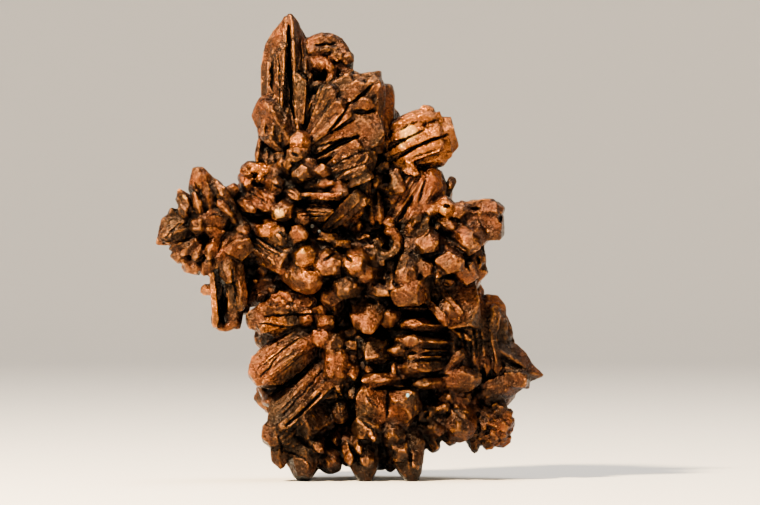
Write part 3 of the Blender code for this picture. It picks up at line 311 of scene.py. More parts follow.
FAN = (
    ("wedge", (-6.6, -3.2, 55.6), (-4.2, -3.9, 62.2), 1.5, 2.4),
    ("wedge", (-6.8, -3.6, 54.6), (-2.7, -4.8, 62.9), 2.3, 3.0),
    ("blade", (-3.6, -3.4, 62.0), (0.4, -4.2, 64.2), 1.6, 2.8),
    ("wedge", (-6.8, -4.2, 53.8), (-1.0, -5.4, 60.6), 1.7, 3.0),
    ("wedge", (-6.8, -4.4, 53.0), (0.6, -5.8, 58.9), 1.6, 3.0),
    ("wedge", (-7.4, -3.6, 51.2), (5.3, -5.4, 56.5), 5.0, 3.4),
    ("block", (-2.0, -3.6, 60.4), (2.7, -5.2, 62.9), 2.5, 2.8),
    ("block", (-1.8, -4.2, 57.2), (3.6, -5.8, 60.4), 2.3, 2.8),
    ("wedge", (0.6, -4.2, 58.6), (4.8, -5.2, 64.0), 2.2, 2.8),
    ("blade", (-2.6, -2.6, 63.4), (5.0, -3.8, 64.4), 1.4, 3.4),
    ("slab", (4.0, -2.8, 52.0), (4.3, -3.4, 63.6), 2.4, 4.4),
    ("slab", (5.8, -0.6, 51.0), (5.8, -0.8, 63.0), 2.4, 3.8),
    ("slab", (0.0, -0.8, 51.0), (0.6, -1.8, 63.8), 8.8, 3.8),
    ("petal", (-7.2, -3.2, 57.2), (-5.8, -3.6, 61.4), 1.3, 2.0),
)

SHELL = (
    ("wedge", (-4.8, -4.4, 48.6), (2.2, -6.6, 53.0), 3.2, 3.4),
    ("wedge", (-4.6, -5.0, 47.8), (3.3, -7.2, 51.4), 1.9, 3.0),
    ("wedge", (-3.4, -5.6, 47.0), (2.8, -7.4, 49.8), 1.7, 2.6),
    ("wedge", (-2.2, -5.8, 45.8), (3.6, -7.0, 48.7), 1.4, 2.4),
    ("petal", (-3.4, -5.8, 48.4), (-0.4, -7.8, 51.4), 0.9, 1.6),
    ("petal", (-2.6, -6.4, 47.4), (0.6, -7.8, 49.4), 0.9, 1.6),
    ("knob", (0.6, -4.0, 48.0), (3.0, -4.8, 53.2), 4.2, 4.0),
    ("knob", (1.8, -3.4, 45.0), (2.4, -4.4, 48.4), 2.6, 3.4),
)

SHOULDER = (
    ("leaf", (-9.4, -2.6, 53.6), (-13.9, -3.0, 61.2), 4.8, 4.4),
    ("spear", (-12.0, -2.4, 55.0), (-13.3, -2.6, 61.0), 2.8, 3.4),
    ("petal", (-14.5, -2.8, 55.8), (-10.4, -4.4, 52.2), 1.8, 2.6),
    ("petal", (-9.8, -3.6, 59.0), (-11.0, -5.0, 53.6), 1.8, 2.2),
    ("petal", (-12.2, -3.8, 58.4), (-12.4, -5.0, 54.0), 1.2, 2.0),
    ("petal", (-13.6, -3.2, 58.4), (-13.6, -4.4, 54.6), 1.2, 2.0),
    ("petal", (-14.3, -1.8, 54.4), (-14.6, -3.4, 50.2), 1.3, 2.0),
    ("petal", (-13.2, -2.0, 54.2), (-13.2, -3.8, 50.4), 1.2, 2.0),
    ("petal", (-12.1, -2.2, 53.4), (-12.0, -4.0, 50.2), 1.2, 2.0),
    ("slab", (-11.8, -0.2, 49.0), (-11.6, 0.2, 59.0), 5.6, 4.0),
)

CROWD = (
    ("bullet", (-7.6, -3.6, 49.6), (-8.0, -6.0, 55.4), 3.3, 2.8),
    ("bullet", (-8.4, -4.4, 49.0), (-8.4, -7.8, 52.4), 2.8, 2.2),
    ("petal", (-11.2, -3.4, 46.6), (-10.8, -6.0, 51.0), 1.5, 2.0),
    ("petal", (-9.9, -4.0, 46.4), (-9.5, -7.2, 51.0), 1.5, 1.8),
    ("bullet", (-7.4, -4.6, 46.2), (-7.5, -8.6, 49.6), 2.7, 2.2),
    ("bullet", (-6.2, -4.0, 48.4), (-6.2, -7.4, 50.6), 1.6, 1.6),
    ("bullet", (-4.4, -4.4, 46.4), (-4.5, -8.4, 49.9), 2.3, 2.0),
    ("shield", (-8.6, -5.0, 46.2), (-2.8, -8.4, 47.4), 2.4, 2.6),
    ("petal", (-5.0, -5.4, 48.0), (-0.4, -8.4, 45.7), 2.3, 2.6),
    ("blade", (-9.0, -4.6, 45.4), (-0.6, -8.0, 45.4), 0.6, 3.6),
    ("blade", (-8.4, -4.6, 44.8), (-2.8, -7.8, 44.8), 0.5, 3.6),
    ("petal", (-12.6, -3.6, 47.4), (-8.0, -7.2, 44.7), 1.8, 2.0),
    ("bullet", (-14.2, -3.4, 47.4), (-11.2, -7.0, 46.6), 1.8, 2.2),
    ("petal", (-14.4, -3.6, 46.0), (-12.0, -6.8, 44.6), 1.4, 1.8),
    ("bullet", (-9.4, -3.4, 44.2), (-11.3, -9.6, 42.2), 2.8, 2.6),
    ("bullet", (-10.0, -3.6, 44.8), (-7.2, -8.2, 41.0), 1.8, 2.0),
    ("petal", (-9.4, -4.0, 43.0), (-2.8, -7.8, 42.9), 2.9, 2.6),
    ("sheaf", (-17.2, -3.4, 47.2), (-12.4, -6.2, 43.2), 2.9, 2.4),
    ("lobe", (-18.3, -3.8, 45.4), (-15.2, -6.8, 42.9), 1.9, 2.1),
    ("knob", (-17.0, -2.8, 49.0), (-15.4, -3.8, 50.0), 1.8, 2.0),
    ("knob", (-15.6, -3.4, 48.8), (-14.2, -4.6, 50.0), 1.8, 1.8),
    ("knob", (-14.4, -3.6, 48.6), (-12.2, -4.8, 49.7), 1.7, 2.0),
    ("knob", (-13.0, -3.8, 47.6), (-11.8, -5.2, 49.0), 1.5, 1.8),
    ("knob", (-17.2, -3.0, 48.6), (-16.0, -4.2, 46.6), 1.8, 2.2),
    ("knob", (-17.6, -1.2, 47.2), (-11.0, -1.2, 48.0), 5.2, 4.6),
)

LEFT_ARM = (
    ("lobe", (-22.4, -2.6, 42.4), (-24.2, -4.2, 49.7), 4.1, 3.4),
    ("petal", (-19.9, -3.2, 43.4), (-21.7, -4.4, 48.2), 1.9, 2.6),
    ("petal", (-21.8, -4.4, 41.8), (-22.7, -5.6, 47.4), 1.7, 2.2),
    ("petal", (-17.3, -3.6, 41.0), (-21.2, -5.2, 46.9), 2.0, 2.4),
    ("petal", (-18.1, -4.8, 40.9), (-20.9, -6.4, 44.6), 1.4, 1.8),
    ("petal", (-24.2, -4.0, 41.2), (-26.9, -5.8, 46.3), 2.1, 2.4),
    ("petal", (-23.3, -5.0, 40.8), (-24.7, -6.6, 45.9), 1.6, 2.2),
    ("petal", (-25.4, -4.6, 42.4), (-27.2, -6.2, 45.0), 1.3, 2.0),
    ("lobe", (-25.3, -3.8, 40.0), (-26.3, -6.4, 43.8), 1.9, 2.2),
    ("petal", (-26.2, -2.8, 39.8), (-28.3, -4.8, 43.1), 1.9, 2.2),
    ("knob", (-24.0, -5.4, 40.4), (-24.0, -7.6, 40.6), 2.2, 2.2),
    ("spear", (-25.4, -2.8, 41.8), (-30.7, -4.4, 37.4), 4.0, 3.4),
    ("leaf", (-25.0, -3.2, 40.2), (-30.3, -5.4, 38.6), 2.6, 2.8),
    ("petal", (-24.8, -3.2, 38.8), (-28.8, -4.8, 36.6), 1.9, 2.2),
    ("petal", (-18.3, -4.2, 41.0), (-23.0, -6.6, 41.8), 2.9, 2.6),
    ("petal", (-18.4, -3.8, 39.4), (-22.8, -6.2, 40.0), 1.9, 2.2),
    ("bullet", (-18.0, -3.0, 43.8), (-18.9, -4.8, 46.6), 1.6, 1.8),
    ("block", (-20.4, -2.8, 39.8), (-17.3, -5.4, 36.8), 3.8, 3.0),
    ("petal", (-18.8, -3.6, 41.2), (-16.2, -6.0, 39.2), 2.2, 2.2),
    ("bullet", (-26.0, -2.4, 38.4), (-27.1, -5.0, 35.4), 2.2, 2.2),
    ("bullet", (-24.0, -2.4, 37.0), (-25.2, -4.4, 33.4), 2.6, 2.4),
    ("petal", (-23.8, -3.6, 39.4), (-26.6, -5.6, 35.6), 1.7, 2.0),
    ("petal", (-22.6, -3.6, 39.6), (-24.6, -5.8, 35.2), 1.6, 2.0),
    ("petal", (-21.0, -3.8, 39.6), (-22.5, -5.8, 35.0), 1.8, 2.2),
    ("petal", (-19.8, -3.4, 38.2), (-21.4, -5.2, 33.6), 1.8, 2.2),
    ("petal", (-21.2, -3.2, 36.4), (-23.4, -4.8, 32.8), 2.2, 2.2),
    ("lobe", (-20.2, -2.8, 38.4), (-19.2, -4.8, 31.2), 3.0, 2.6),
    ("knob", (-28.0, -2.0, 38.6), (-17.0, -1.4, 39.7), 5.8, 4.4),
    ("knob", (-24.2, -2.0, 38.6), (-19.2, -1.8, 32.2), 5.0, 3.8),
    ("knob", (-25.6, -2.2, 41.0), (-18.0, -2.0, 43.4), 4.8, 3.6),
    ("lobe", (-19.0, -2.2, 37.0), (-18.2, -2.6, 24.0), 3.8, 3.6),
    ("petal", (-17.6, -3.2, 34.8), (-17.4, -4.0, 26.8), 2.2, 2.6),
    ("blade", (-21.9, -3.8, 33.0), (-21.2, -4.0, 24.2), 0.9, 3.0),
    ("slab", (-20.4, -0.4, 35.4), (-20.0, -0.6, 24.6), 3.8, 1.8),
    ("bullet", (-21.2, -2.8, 30.2), (-23.9, -3.4, 30.4), 2.0, 2.0),
    ("knob", (-18.4, -1.0, 27.6), (-16.1, 0.0, 27.2), 1.8, 2.4),
    ("knob", (-17.6, 0.2, 36.6), (-15.4, 0.4, 28.2), 4.6, 3.4),
    ("knob", (-15.2, 0.8, 31.0), (-15.0, 0.8, 27.6), 3.4, 3.4),
)

BAND = (
    ("sheaf", (-19.0, -1.8, 40.6), (-9.4, -7.0, 35.4), 4.6, 3.0),
    ("bullet", (-18.0, -1.2, 37.4), (-9.6, -6.0, 33.6), 2.2, 2.6),
    ("petal", (-17.4, -2.8, 42.0), (-12.4, -6.4, 39.0), 2.0, 2.2),
    ("petal", (-14.6, -3.6, 42.2), (-11.4, -6.8, 39.6), 1.6, 2.0),
    ("bullet", (-13.8, -3.8, 40.6), (-10.2, -8.6, 38.6), 2.6, 2.2),
    ("bullet", (-10.2, -4.2, 34.8), (-7.8, -9.4, 40.0), 2.3, 2.2),
    ("lobe", (-4.8, -3.0, 37.0), (-7.6, -10.1, 35.2), 3.4, 3.0),
    ("lobe", (-12.2, -3.4, 35.4), (-5.6, -9.8, 31.0), 3.8, 3.2),
    ("petal", (-7.2, -3.8, 38.2), (-2.2, -7.6, 38.3), 1.7, 2.4),
    ("bullet", (-2.2, -3.0, 37.6), (-4.2, -9.6, 33.2), 4.2, 3.4),
    ("blade", (-5.4, -4.0, 37.6), (-0.8, -7.6, 37.6), 1.2, 2.4),
    ("lobe", (0.4, -2.8, 37.6), (0.9, -9.6, 33.4), 3.8, 3.2),
    ("lobe", (1.8, -3.0, 35.2), (-1.2, -9.4, 29.6), 3.8, 3.2),
    ("bullet", (7.2, -3.0, 31.2), (1.6, -8.8, 33.2), 2.3, 2.2),
    ("bullet", (6.2, -2.6, 34.4), (6.8, -8.4, 30.4), 1.9, 1.8),
    ("petal", (0.8, -5.0, 32.4), (5.8, -8.4, 29.6), 1.9, 2.4),
    ("shield", (3.2, -3.6, 33.0), (2.9, -8.4, 23.4), 5.8, 3.2),
    ("blade", (0.2, -4.0, 29.4), (1.2, -7.0, 25.0), 1.6, 2.2),
    ("petal", (3.4, -2.4, 39.8), (4.0, -4.8, 34.9), 2.0, 2.2),
    ("petal", (3.6, -2.4, 42.8), (6.8, -5.4, 40.4), 1.9, 2.0),
    ("petal", (3.0, -1.6, 40.2), (5.0, -2.6, 37.0), 1.4, 1.6),
    ("lobe", (-1.4, -2.0, 38.6), (-0.6, -5.2, 42.0), 2.0, 2.2),
    ("petal", (0.2, -2.0, 38.0), (1.4, -5.2, 41.2), 2.1, 2.2),
    ("petal", (0.4, -1.6, 36.8), (2.8, -5.6, 38.8), 2.2, 2.2),
    ("petal", (3.2, -2.6, 46.6), (3.5, -4.6, 40.6), 1.4, 2.0),
    ("petal", (4.4, -2.8, 46.4), (4.8, -4.8, 40.6), 1.4, 2.0),
    ("wedge", (-4.6, -3.8, 39.6), (1.6, -6.8, 45.7), 2.0, 2.6),
    ("wedge", (-3.8, -3.6, 39.4), (2.8, -6.2, 45.0), 1.7, 2.4),
    ("petal", (-2.6, -3.0, 40.0), (2.2, -5.2, 43.4), 1.7, 2.2),
    ("slab", (2.0, -1.4, 40.6), (2.6, -2.8, 47.0), 3.2, 2.8),
)

GOLDEN_BLOCK = (
    ("lobe", (6.2, -0.4, 52.6), (16.6, -0.4, 55.4), 7.6, 5.2),
    ("lobe", (6.4, -1.0, 56.0), (14.0, -1.2, 58.0), 3.2, 4.8),
    ("wedge", (5.0, -1.8, 53.6), (12.0, -2.6, 57.0), 1.9, 4.4),
    ("wedge", (5.4, -1.8, 51.6), (14.4, -2.6, 56.2), 2.1, 4.6),
    ("wedge", (6.2, -1.8, 49.8), (15.0, -2.4, 54.0), 2.5, 4.2),
    ("lobe", (8.8, -0.2, 51.0), (15.6, -1.2, 51.9), 3.8, 4.2),
    ("block", (13.0, -0.4, 58.4), (15.3, -0.4, 51.0), 2.6, 4.4),
    ("bullet", (10.4, -0.4, 56.4), (13.1, -0.8, 59.3), 2.4, 3.4),
    ("sheaf", (6.2, -2.4, 41.0), (11.6, -1.8, 49.3), 3.4, 2.6),
    ("lobe", (9.6, -2.8, 40.4), (13.4, -2.0, 49.6), 4.2, 3.0),
    ("slab", (12.6, -1.8, 40.8), (14.2, -1.2, 48.0), 2.6, 2.6),
    ("bullet", (14.4, 0.4, 43.0), (16.4, -0.4, 48.2), 1.4, 1.8),
    ("knob", (8.6, 1.4, 41.0), (13.0, 1.4, 51.4), 6.0, 4.4),
    ("petal", (4.5, -1.4, 52.4), (4.2, -4.8, 46.6), 1.8, 2.4),
    ("petal", (4.7, -1.8, 51.8), (8.1, -5.2, 46.4), 1.9, 2.2),
    ("petal", (3.2, -2.8, 46.8), (8.6, -5.4, 46.4), 1.8, 2.2),
    ("petal", (5.8, -0.8, 50.6), (10.5, -4.0, 48.8), 2.1, 2.4),
    ("petal", (6.0, -0.6, 53.0), (10.2, -3.4, 49.6), 1.7, 2.2),
    ("lobe", (4.4, -1.2, 43.0), (6.7, -3.8, 44.8), 2.4, 2.4),
)

RIGHT_ARM = (
    ("lobe", (10.6, -3.0, 41.4), (13.8, -5.4, 43.6), 2.4, 2.8),
    ("bullet", (13.4, -3.2, 42.6), (15.8, -6.0, 43.6), 2.4, 2.8),
    ("bullet", (16.0, -3.2, 41.0), (18.0, -5.8, 43.0), 2.6, 2.8),
    ("bullet", (17.0, -3.4, 43.4), (20.2, -5.4, 42.4), 1.7, 2.6),
    ("blade", (15.8, -3.2, 43.4), (23.0, -3.8, 44.3), 1.2, 3.0),
    ("bullet", (18.0, -3.2, 42.4), (24.4, -4.4, 43.0), 3.0, 3.8),
    ("block", (18.6, -3.0, 40.2), (24.4, -3.8, 40.4), 4.2, 4.4),
    ("petal", (11.8, -3.6, 42.0), (16.6, -6.6, 40.2), 1.6, 2.0),
    ("bullet", (13.8, -3.2, 41.6), (19.8, -8.2, 37.2), 2.8, 2.6),
    ("block", (17.4, -3.2, 41.8), (20.7, -6.4, 38.6), 2.7, 2.8),
    ("petal", (8.5, -3.2, 38.2), (11.2, -5.8, 42.4), 1.7, 2.2),
    ("petal", (9.6, -3.4, 38.0), (12.2, -6.0, 41.6), 1.4, 2.0),
    ("bullet", (12.8, -2.8, 41.2), (12.2, -8.6, 36.8), 3.0, 2.8),
    ("petal", (11.2, -4.2, 38.4), (8.0, -6.8, 34.6), 1.2, 1.8),
    ("lobe", (10.9, -3.0, 37.8), (8.5, -9.4, 31.8), 2.9, 2.6),
    ("bullet", (10.8, -3.0, 37.2), (11.9, -8.0, 33.0), 2.5, 2.4),
    ("bullet", (15.0, -3.0, 39.0), (15.8, -8.4, 33.4), 3.6, 3.2),
    ("spear", (14.4, -4.0, 35.6), (13.8, -8.6, 32.4), 2.4, 2.0),
    ("block", (17.0, -2.6, 36.6), (18.6, -6.4, 32.4), 2.8, 2.8),
    ("bullet", (18.4, -2.8, 36.6), (20.6, -4.8, 34.8), 2.2, 2.4),
    ("bullet", (18.2, -2.8, 34.0), (20.8, -4.8, 33.0), 2.2, 2.4),
    ("petal", (20.0, -2.0, 39.8), (20.8, -3.2, 33.4), 1.8, 2.2),
    ("block", (12.4, -3.0, 31.8), (8.4, -9.4, 29.4), 3.9, 3.2),
    ("wedge", (10.6, -3.4, 30.2), (15.3, -6.4, 25.0), 1.4, 2.2),
    ("wedge", (12.0, -3.0, 31.4), (16.2, -6.0, 26.2), 1.3, 2.2),
    ("wedge", (13.4, -2.6, 32.0), (17.6, -5.2, 26.0), 1.3, 2.2),
    ("block", (16.6, -0.6, 32.4), (18.0, -2.6, 23.6), 6.2, 5.0),
    ("knob", (9.0, -1.0, 40.0), (23.2, -1.2, 41.2), 5.4, 5.0),
    ("knob", (9.0, -0.2, 35.4), (20.6, -0.4, 33.6), 7.4, 6.0),
)

LEFT_BLADES = (
    ("lobe", (-5.2, -0.8, 26.8), (-16.2, -4.4, 24.7), 5.4, 4.8),
    ("wedge", (-8.2, -3.4, 25.6), (-14.6, -6.0, 24.2), 1.8, 2.0),
    ("wedge", (-7.4, -3.0, 27.0), (-14.8, -5.4, 27.0), 1.6, 2.2),
    ("bullet", (-2.0, -2.4, 24.8), (-3.0, -6.8, 30.4), 3.0, 2.8),
    ("petal", (-4.6, -3.6, 24.8), (-4.6, -6.6, 27.8), 2.4, 2.4),
    ("knob", (-8.2, -3.8, 25.0), (-6.4, -6.0, 26.4), 2.2, 2.4),
    ("knob", (-5.2, -3.8, 24.4), (-3.4, -6.4, 25.8), 2.3, 2.4),
    ("lobe", (-5.8, -1.4, 25.0), (-14.4, -4.4, 19.4), 2.9, 3.2),
    ("lobe", (-4.2, -1.4, 23.4), (-15.6, -5.8, 16.0), 6.4, 4.4),
    ("petal", (-4.0, -3.2, 23.4), (-14.8, -7.2, 17.4), 2.6, 2.6),
    ("petal", (-6.6, -4.8, 21.6), (-13.8, -7.8, 15.8), 1.3, 1.8),
    ("lobe", (-5.0, -0.8, 19.6), (-13.6, -4.2, 12.2), 2.6, 3.2),
    ("petal", (-14.6, -2.6, 15.0), (-11.6, -3.8, 11.4), 1.6, 2.4),
    ("lobe", (-1.6, -1.6, 19.4), (-12.4, -5.8, 8.6), 6.0, 4.4),
    ("blade", (-1.0, -3.4, 17.6), (-11.2, -8.2, 8.2), 1.5, 2.8),
    ("lobe", (-5.6, -2.2, 12.4), (-13.0, -6.2, 5.6), 5.2, 4.6),
    ("lobe", (-8.2, -2.2, 10.4), (-7.6, -5.2, 0.2), 7.2, 5.8),
    ("petal", (-11.6, -4.2, 8.6), (-10.8, -6.4, 2.0), 2.6, 2.6),
    ("block", (-1.8, -2.4, 13.8), (-8.4, -7.2, 9.2), 4.8, 3.2),
    ("petal", (-8.8, -5.0, 8.6), (-4.4, -7.8, 4.9), 1.6, 2.2),
    ("lobe", (-6.2, -2.8, 6.2), (-2.4, -5.2, 2.4), 3.2, 3.2),
    ("petal", (-1.4, -1.0, 10.6), (-2.3, -4.6, 5.8), 2.3, 2.6),
)

LOW_MIDDLE = (
    ("bullet", (-1.0, -3.4, 24.2), (-3.4, -6.2, 21.4), 2.6, 2.6),
    ("petal", (-4.6, -4.0, 22.0), (-2.6, -6.4, 20.2), 1.5, 1.8),
    ("petal", (0.3, -3.0, 20.2), (0.6, -6.2, 16.2), 1.8, 1.8),
    ("petal", (0.4, -2.8, 16.6), (0.5, -5.8, 13.3), 1.7, 1.7),
    ("lobe", (-1.3, -2.2, 14.4), (-1.7, -6.2, 9.8), 2.3, 2.2),
    ("petal", (-1.2, -3.6, 20.6), (-1.6, -6.4, 17.4), 1.5, 1.6),
    ("petal", (-2.6, -4.0, 19.8), (-3.0, -6.6, 16.6), 1.5, 1.6),
    ("petal", (-1.6, -3.2, 17.2), (-2.0, -6.0, 14.4), 1.4, 1.6),
    ("lobe", (4.8, -2.8, 23.8), (4.2, -6.0, 19.2), 4.4, 3.4),
    ("petal", (4.8, -2.4, 19.6), (2.8, -5.2, 17.0), 1.5, 1.8),
)

LEDGES = (
    ("lobe", (9.6, -3.0, 27.2), (5.3, -6.8, 25.8), 2.8, 3.0),
    ("petal", (14.0, -2.4, 27.2), (8.0, -5.0, 27.6), 1.2, 2.4),
    ("petal", (16.4, -2.2, 24.8), (8.6, -7.2, 24.7), 2.0, 4.2),
    ("petal", (19.0, -1.8, 22.0), (7.8, -7.0, 22.3), 1.9, 4.4),
    ("petal", (11.4, -3.2, 20.6), (6.6, -7.2, 20.7), 1.8, 2.6),
    ("petal", (17.2, -2.4, 20.6), (9.6, -6.4, 20.9), 0.9, 3.6),
    ("petal", (17.2, -2.4, 19.7), (9.2, -6.4, 19.7), 0.9, 3.6),
    ("lobe", (17.4, -2.0, 18.9), (8.6, -6.8, 17.9), 2.8, 3.8),
    ("petal", (12.0, -2.4, 16.4), (2.2, -7.8, 15.9), 1.8, 4.2),
    ("petal", (16.8, -2.2, 16.0), (10.2, -6.6, 15.4), 1.6, 3.6),
    ("lobe", (12.8, -1.8, 15.8), (20.8, -4.2, 16.4), 3.9, 3.8),
    ("petal", (9.0, -4.0, 17.7), (6.6, -6.6, 17.6), 0.8, 2.0),
    ("bullet", (15.2, -3.0, 17.2), (18.1, -3.8, 21.0), 1.5, 2.8),
    ("petal", (14.4, -2.4, 24.8), (19.2, -3.8, 22.3), 1.1, 2.6),
)

LOW_BLOCK = (
    ("knob", (6.0, -4.2, 6.8), (6.0, -4.2, 14.8), 9.0, 6.6),
    ("lobe", (5.6, -2.8, 12.6), (1.6, -7.2, 12.6), 6.2, 5.6),
    ("lobe", (4.8, -2.8, 13.2), (10.2, -6.8, 12.4), 5.6, 5.0),
    ("lobe", (6.6, -3.0, 9.2), (1.2, -6.6, 8.2), 4.4, 4.4),
    ("lobe", (6.6, -2.8, 11.0), (6.8, -6.4, 6.2), 3.4, 3.4),
    ("petal", (2.2, -5.6, 10.2), (3.9, -8.2, 6.8), 1.2, 2.0),
)

FEET = (
    ("shield", (1.0, -1.4, 8.8), (2.8, -5.0, -0.3), 6.0, 4.8),
    ("petal", (-0.5, -3.0, 8.4), (0.0, -6.6, 2.8), 1.8, 2.2),
    ("petal", (0.4, -3.8, 8.2), (1.6, -7.2, 4.6), 1.3, 1.8),
    ("petal", (2.6, -3.6, 8.0), (2.7, -6.6, 2.4), 2.0, 2.2),
    ("shield", (8.0, -1.6, 8.8), (9.9, -4.8, -0.3), 5.9, 4.8),
    ("block", (7.6, -3.4, 8.2), (7.9, -6.8, 4.0), 2.2, 2.0),
    ("petal", (10.4, -3.0, 7.6), (10.4, -6.0, 2.0), 2.2, 2.4),
    ("lobe", (9.8, -2.0, 8.4), (14.4, -4.6, 8.0), 4.0, 3.6),
    ("lobe", (10.8, 0.2, 9.6), (13.8, -1.0, 4.6), 4.4, 4.6),
    ("bullet", (13.4, 0.2, 9.0), (16.7, -1.0, 5.8), 2.0, 2.6),
    ("lobe", (10.4, -1.8, 11.0), (15.3, -4.6, 11.8), 2.4, 2.6),
    ("petal", (11.6, -1.6, 13.6), (16.2, -4.0, 14.1), 2.0, 2.2),
    ("lobe", (17.0, -0.8, 14.6), (17.4, -4.6, 7.2), 4.4, 4.0),
    ("gable", (-6.0, 3.6, 12.0), (-7.4, 11.2, -0.6), 4.8, 4.8),
    ("gable", (2.0, 8.0, 12.0), (1.8, 15.0, -0.6), 4.6, 5.0),
    ("gable", (9.0, 6.0, 12.0), (9.0, 13.0, -0.6), 4.6, 5.0),
)

RIGHT_FLANK = (
    ("lobe", (21.8, 2.4, 18.5), (22.4, 1.6, 29.6), 5.0, 4.2),
    ("petal", (20.8, 0.6, 19.6), (23.4, -0.2, 27.8), 2.4, 2.8),
    ("leaf", (19.6, 1.4, 22.6), (29.4, 1.0, 17.4), 3.4, 3.8),
    ("spear", (24.4, 1.2, 17.8), (30.8, 1.2, 16.9), 3.4, 3.2),
    ("block", (22.4, 1.6, 16.6), (28.7, 1.4, 16.2), 3.2, 4.0),
    ("lobe", (28.0, 2.0, 16.8), (19.6, 0.8, 13.4), 4.8, 4.6),
    ("block", (24.6, 0.0, 16.0), (28.4, -1.0, 16.0), 2.4, 2.4),
    ("petal", (20.0, 0.0, 30.4), (21.6, -1.0, 16.6), 1.9, 3.0),
    ("petal", (21.6, 0.2, 27.6), (23.6, -0.6, 16.8), 1.7, 2.8),
    ("petal", (18.6, -0.6, 30.4), (19.9, -1.6, 16.4), 1.8, 3.0),
    ("petal", (17.2, -1.0, 30.6), (18.2, -2.0, 16.4), 1.8, 3.0),
    ("petal", (15.8, -1.4, 29.8), (16.6, -2.6, 18.0), 1.6, 3.0),
    ("knob", (19.6, 2.6, 14.6), (22.6, 2.0, 5.6), 6.6, 5.2),
    ("lobe", (22.6, 1.0, 10.4), (26.0, -0.2, 8.6), 3.0, 3.0),
    ("lobe", (22.8, 1.0, 9.0), (24.4, -0.6, 5.8), 2.6, 2.6),
    ("lobe", (19.4, 1.2, 8.4), (19.8, -0.2, 4.5), 3.0, 3.0),
    ("petal", (21.2, 1.0, 8.4), (21.9, -0.6, 4.8), 2.4, 2.4),
    ("lobe", (22.4, 1.4, 12.6), (25.0, 0.2, 11.0), 2.6, 2.6),
    ("petal", (20.2, 0.4, 10.8), (21.4, -1.8, 8.2), 2.2, 2.2),
    ("petal", (18.8, 0.2, 12.8), (20.4, -1.8, 11.2), 2.2, 2.2),
    ("petal", (22.2, 0.6, 10.6), (23.0, -1.4, 8.6), 1.8, 1.8),
)

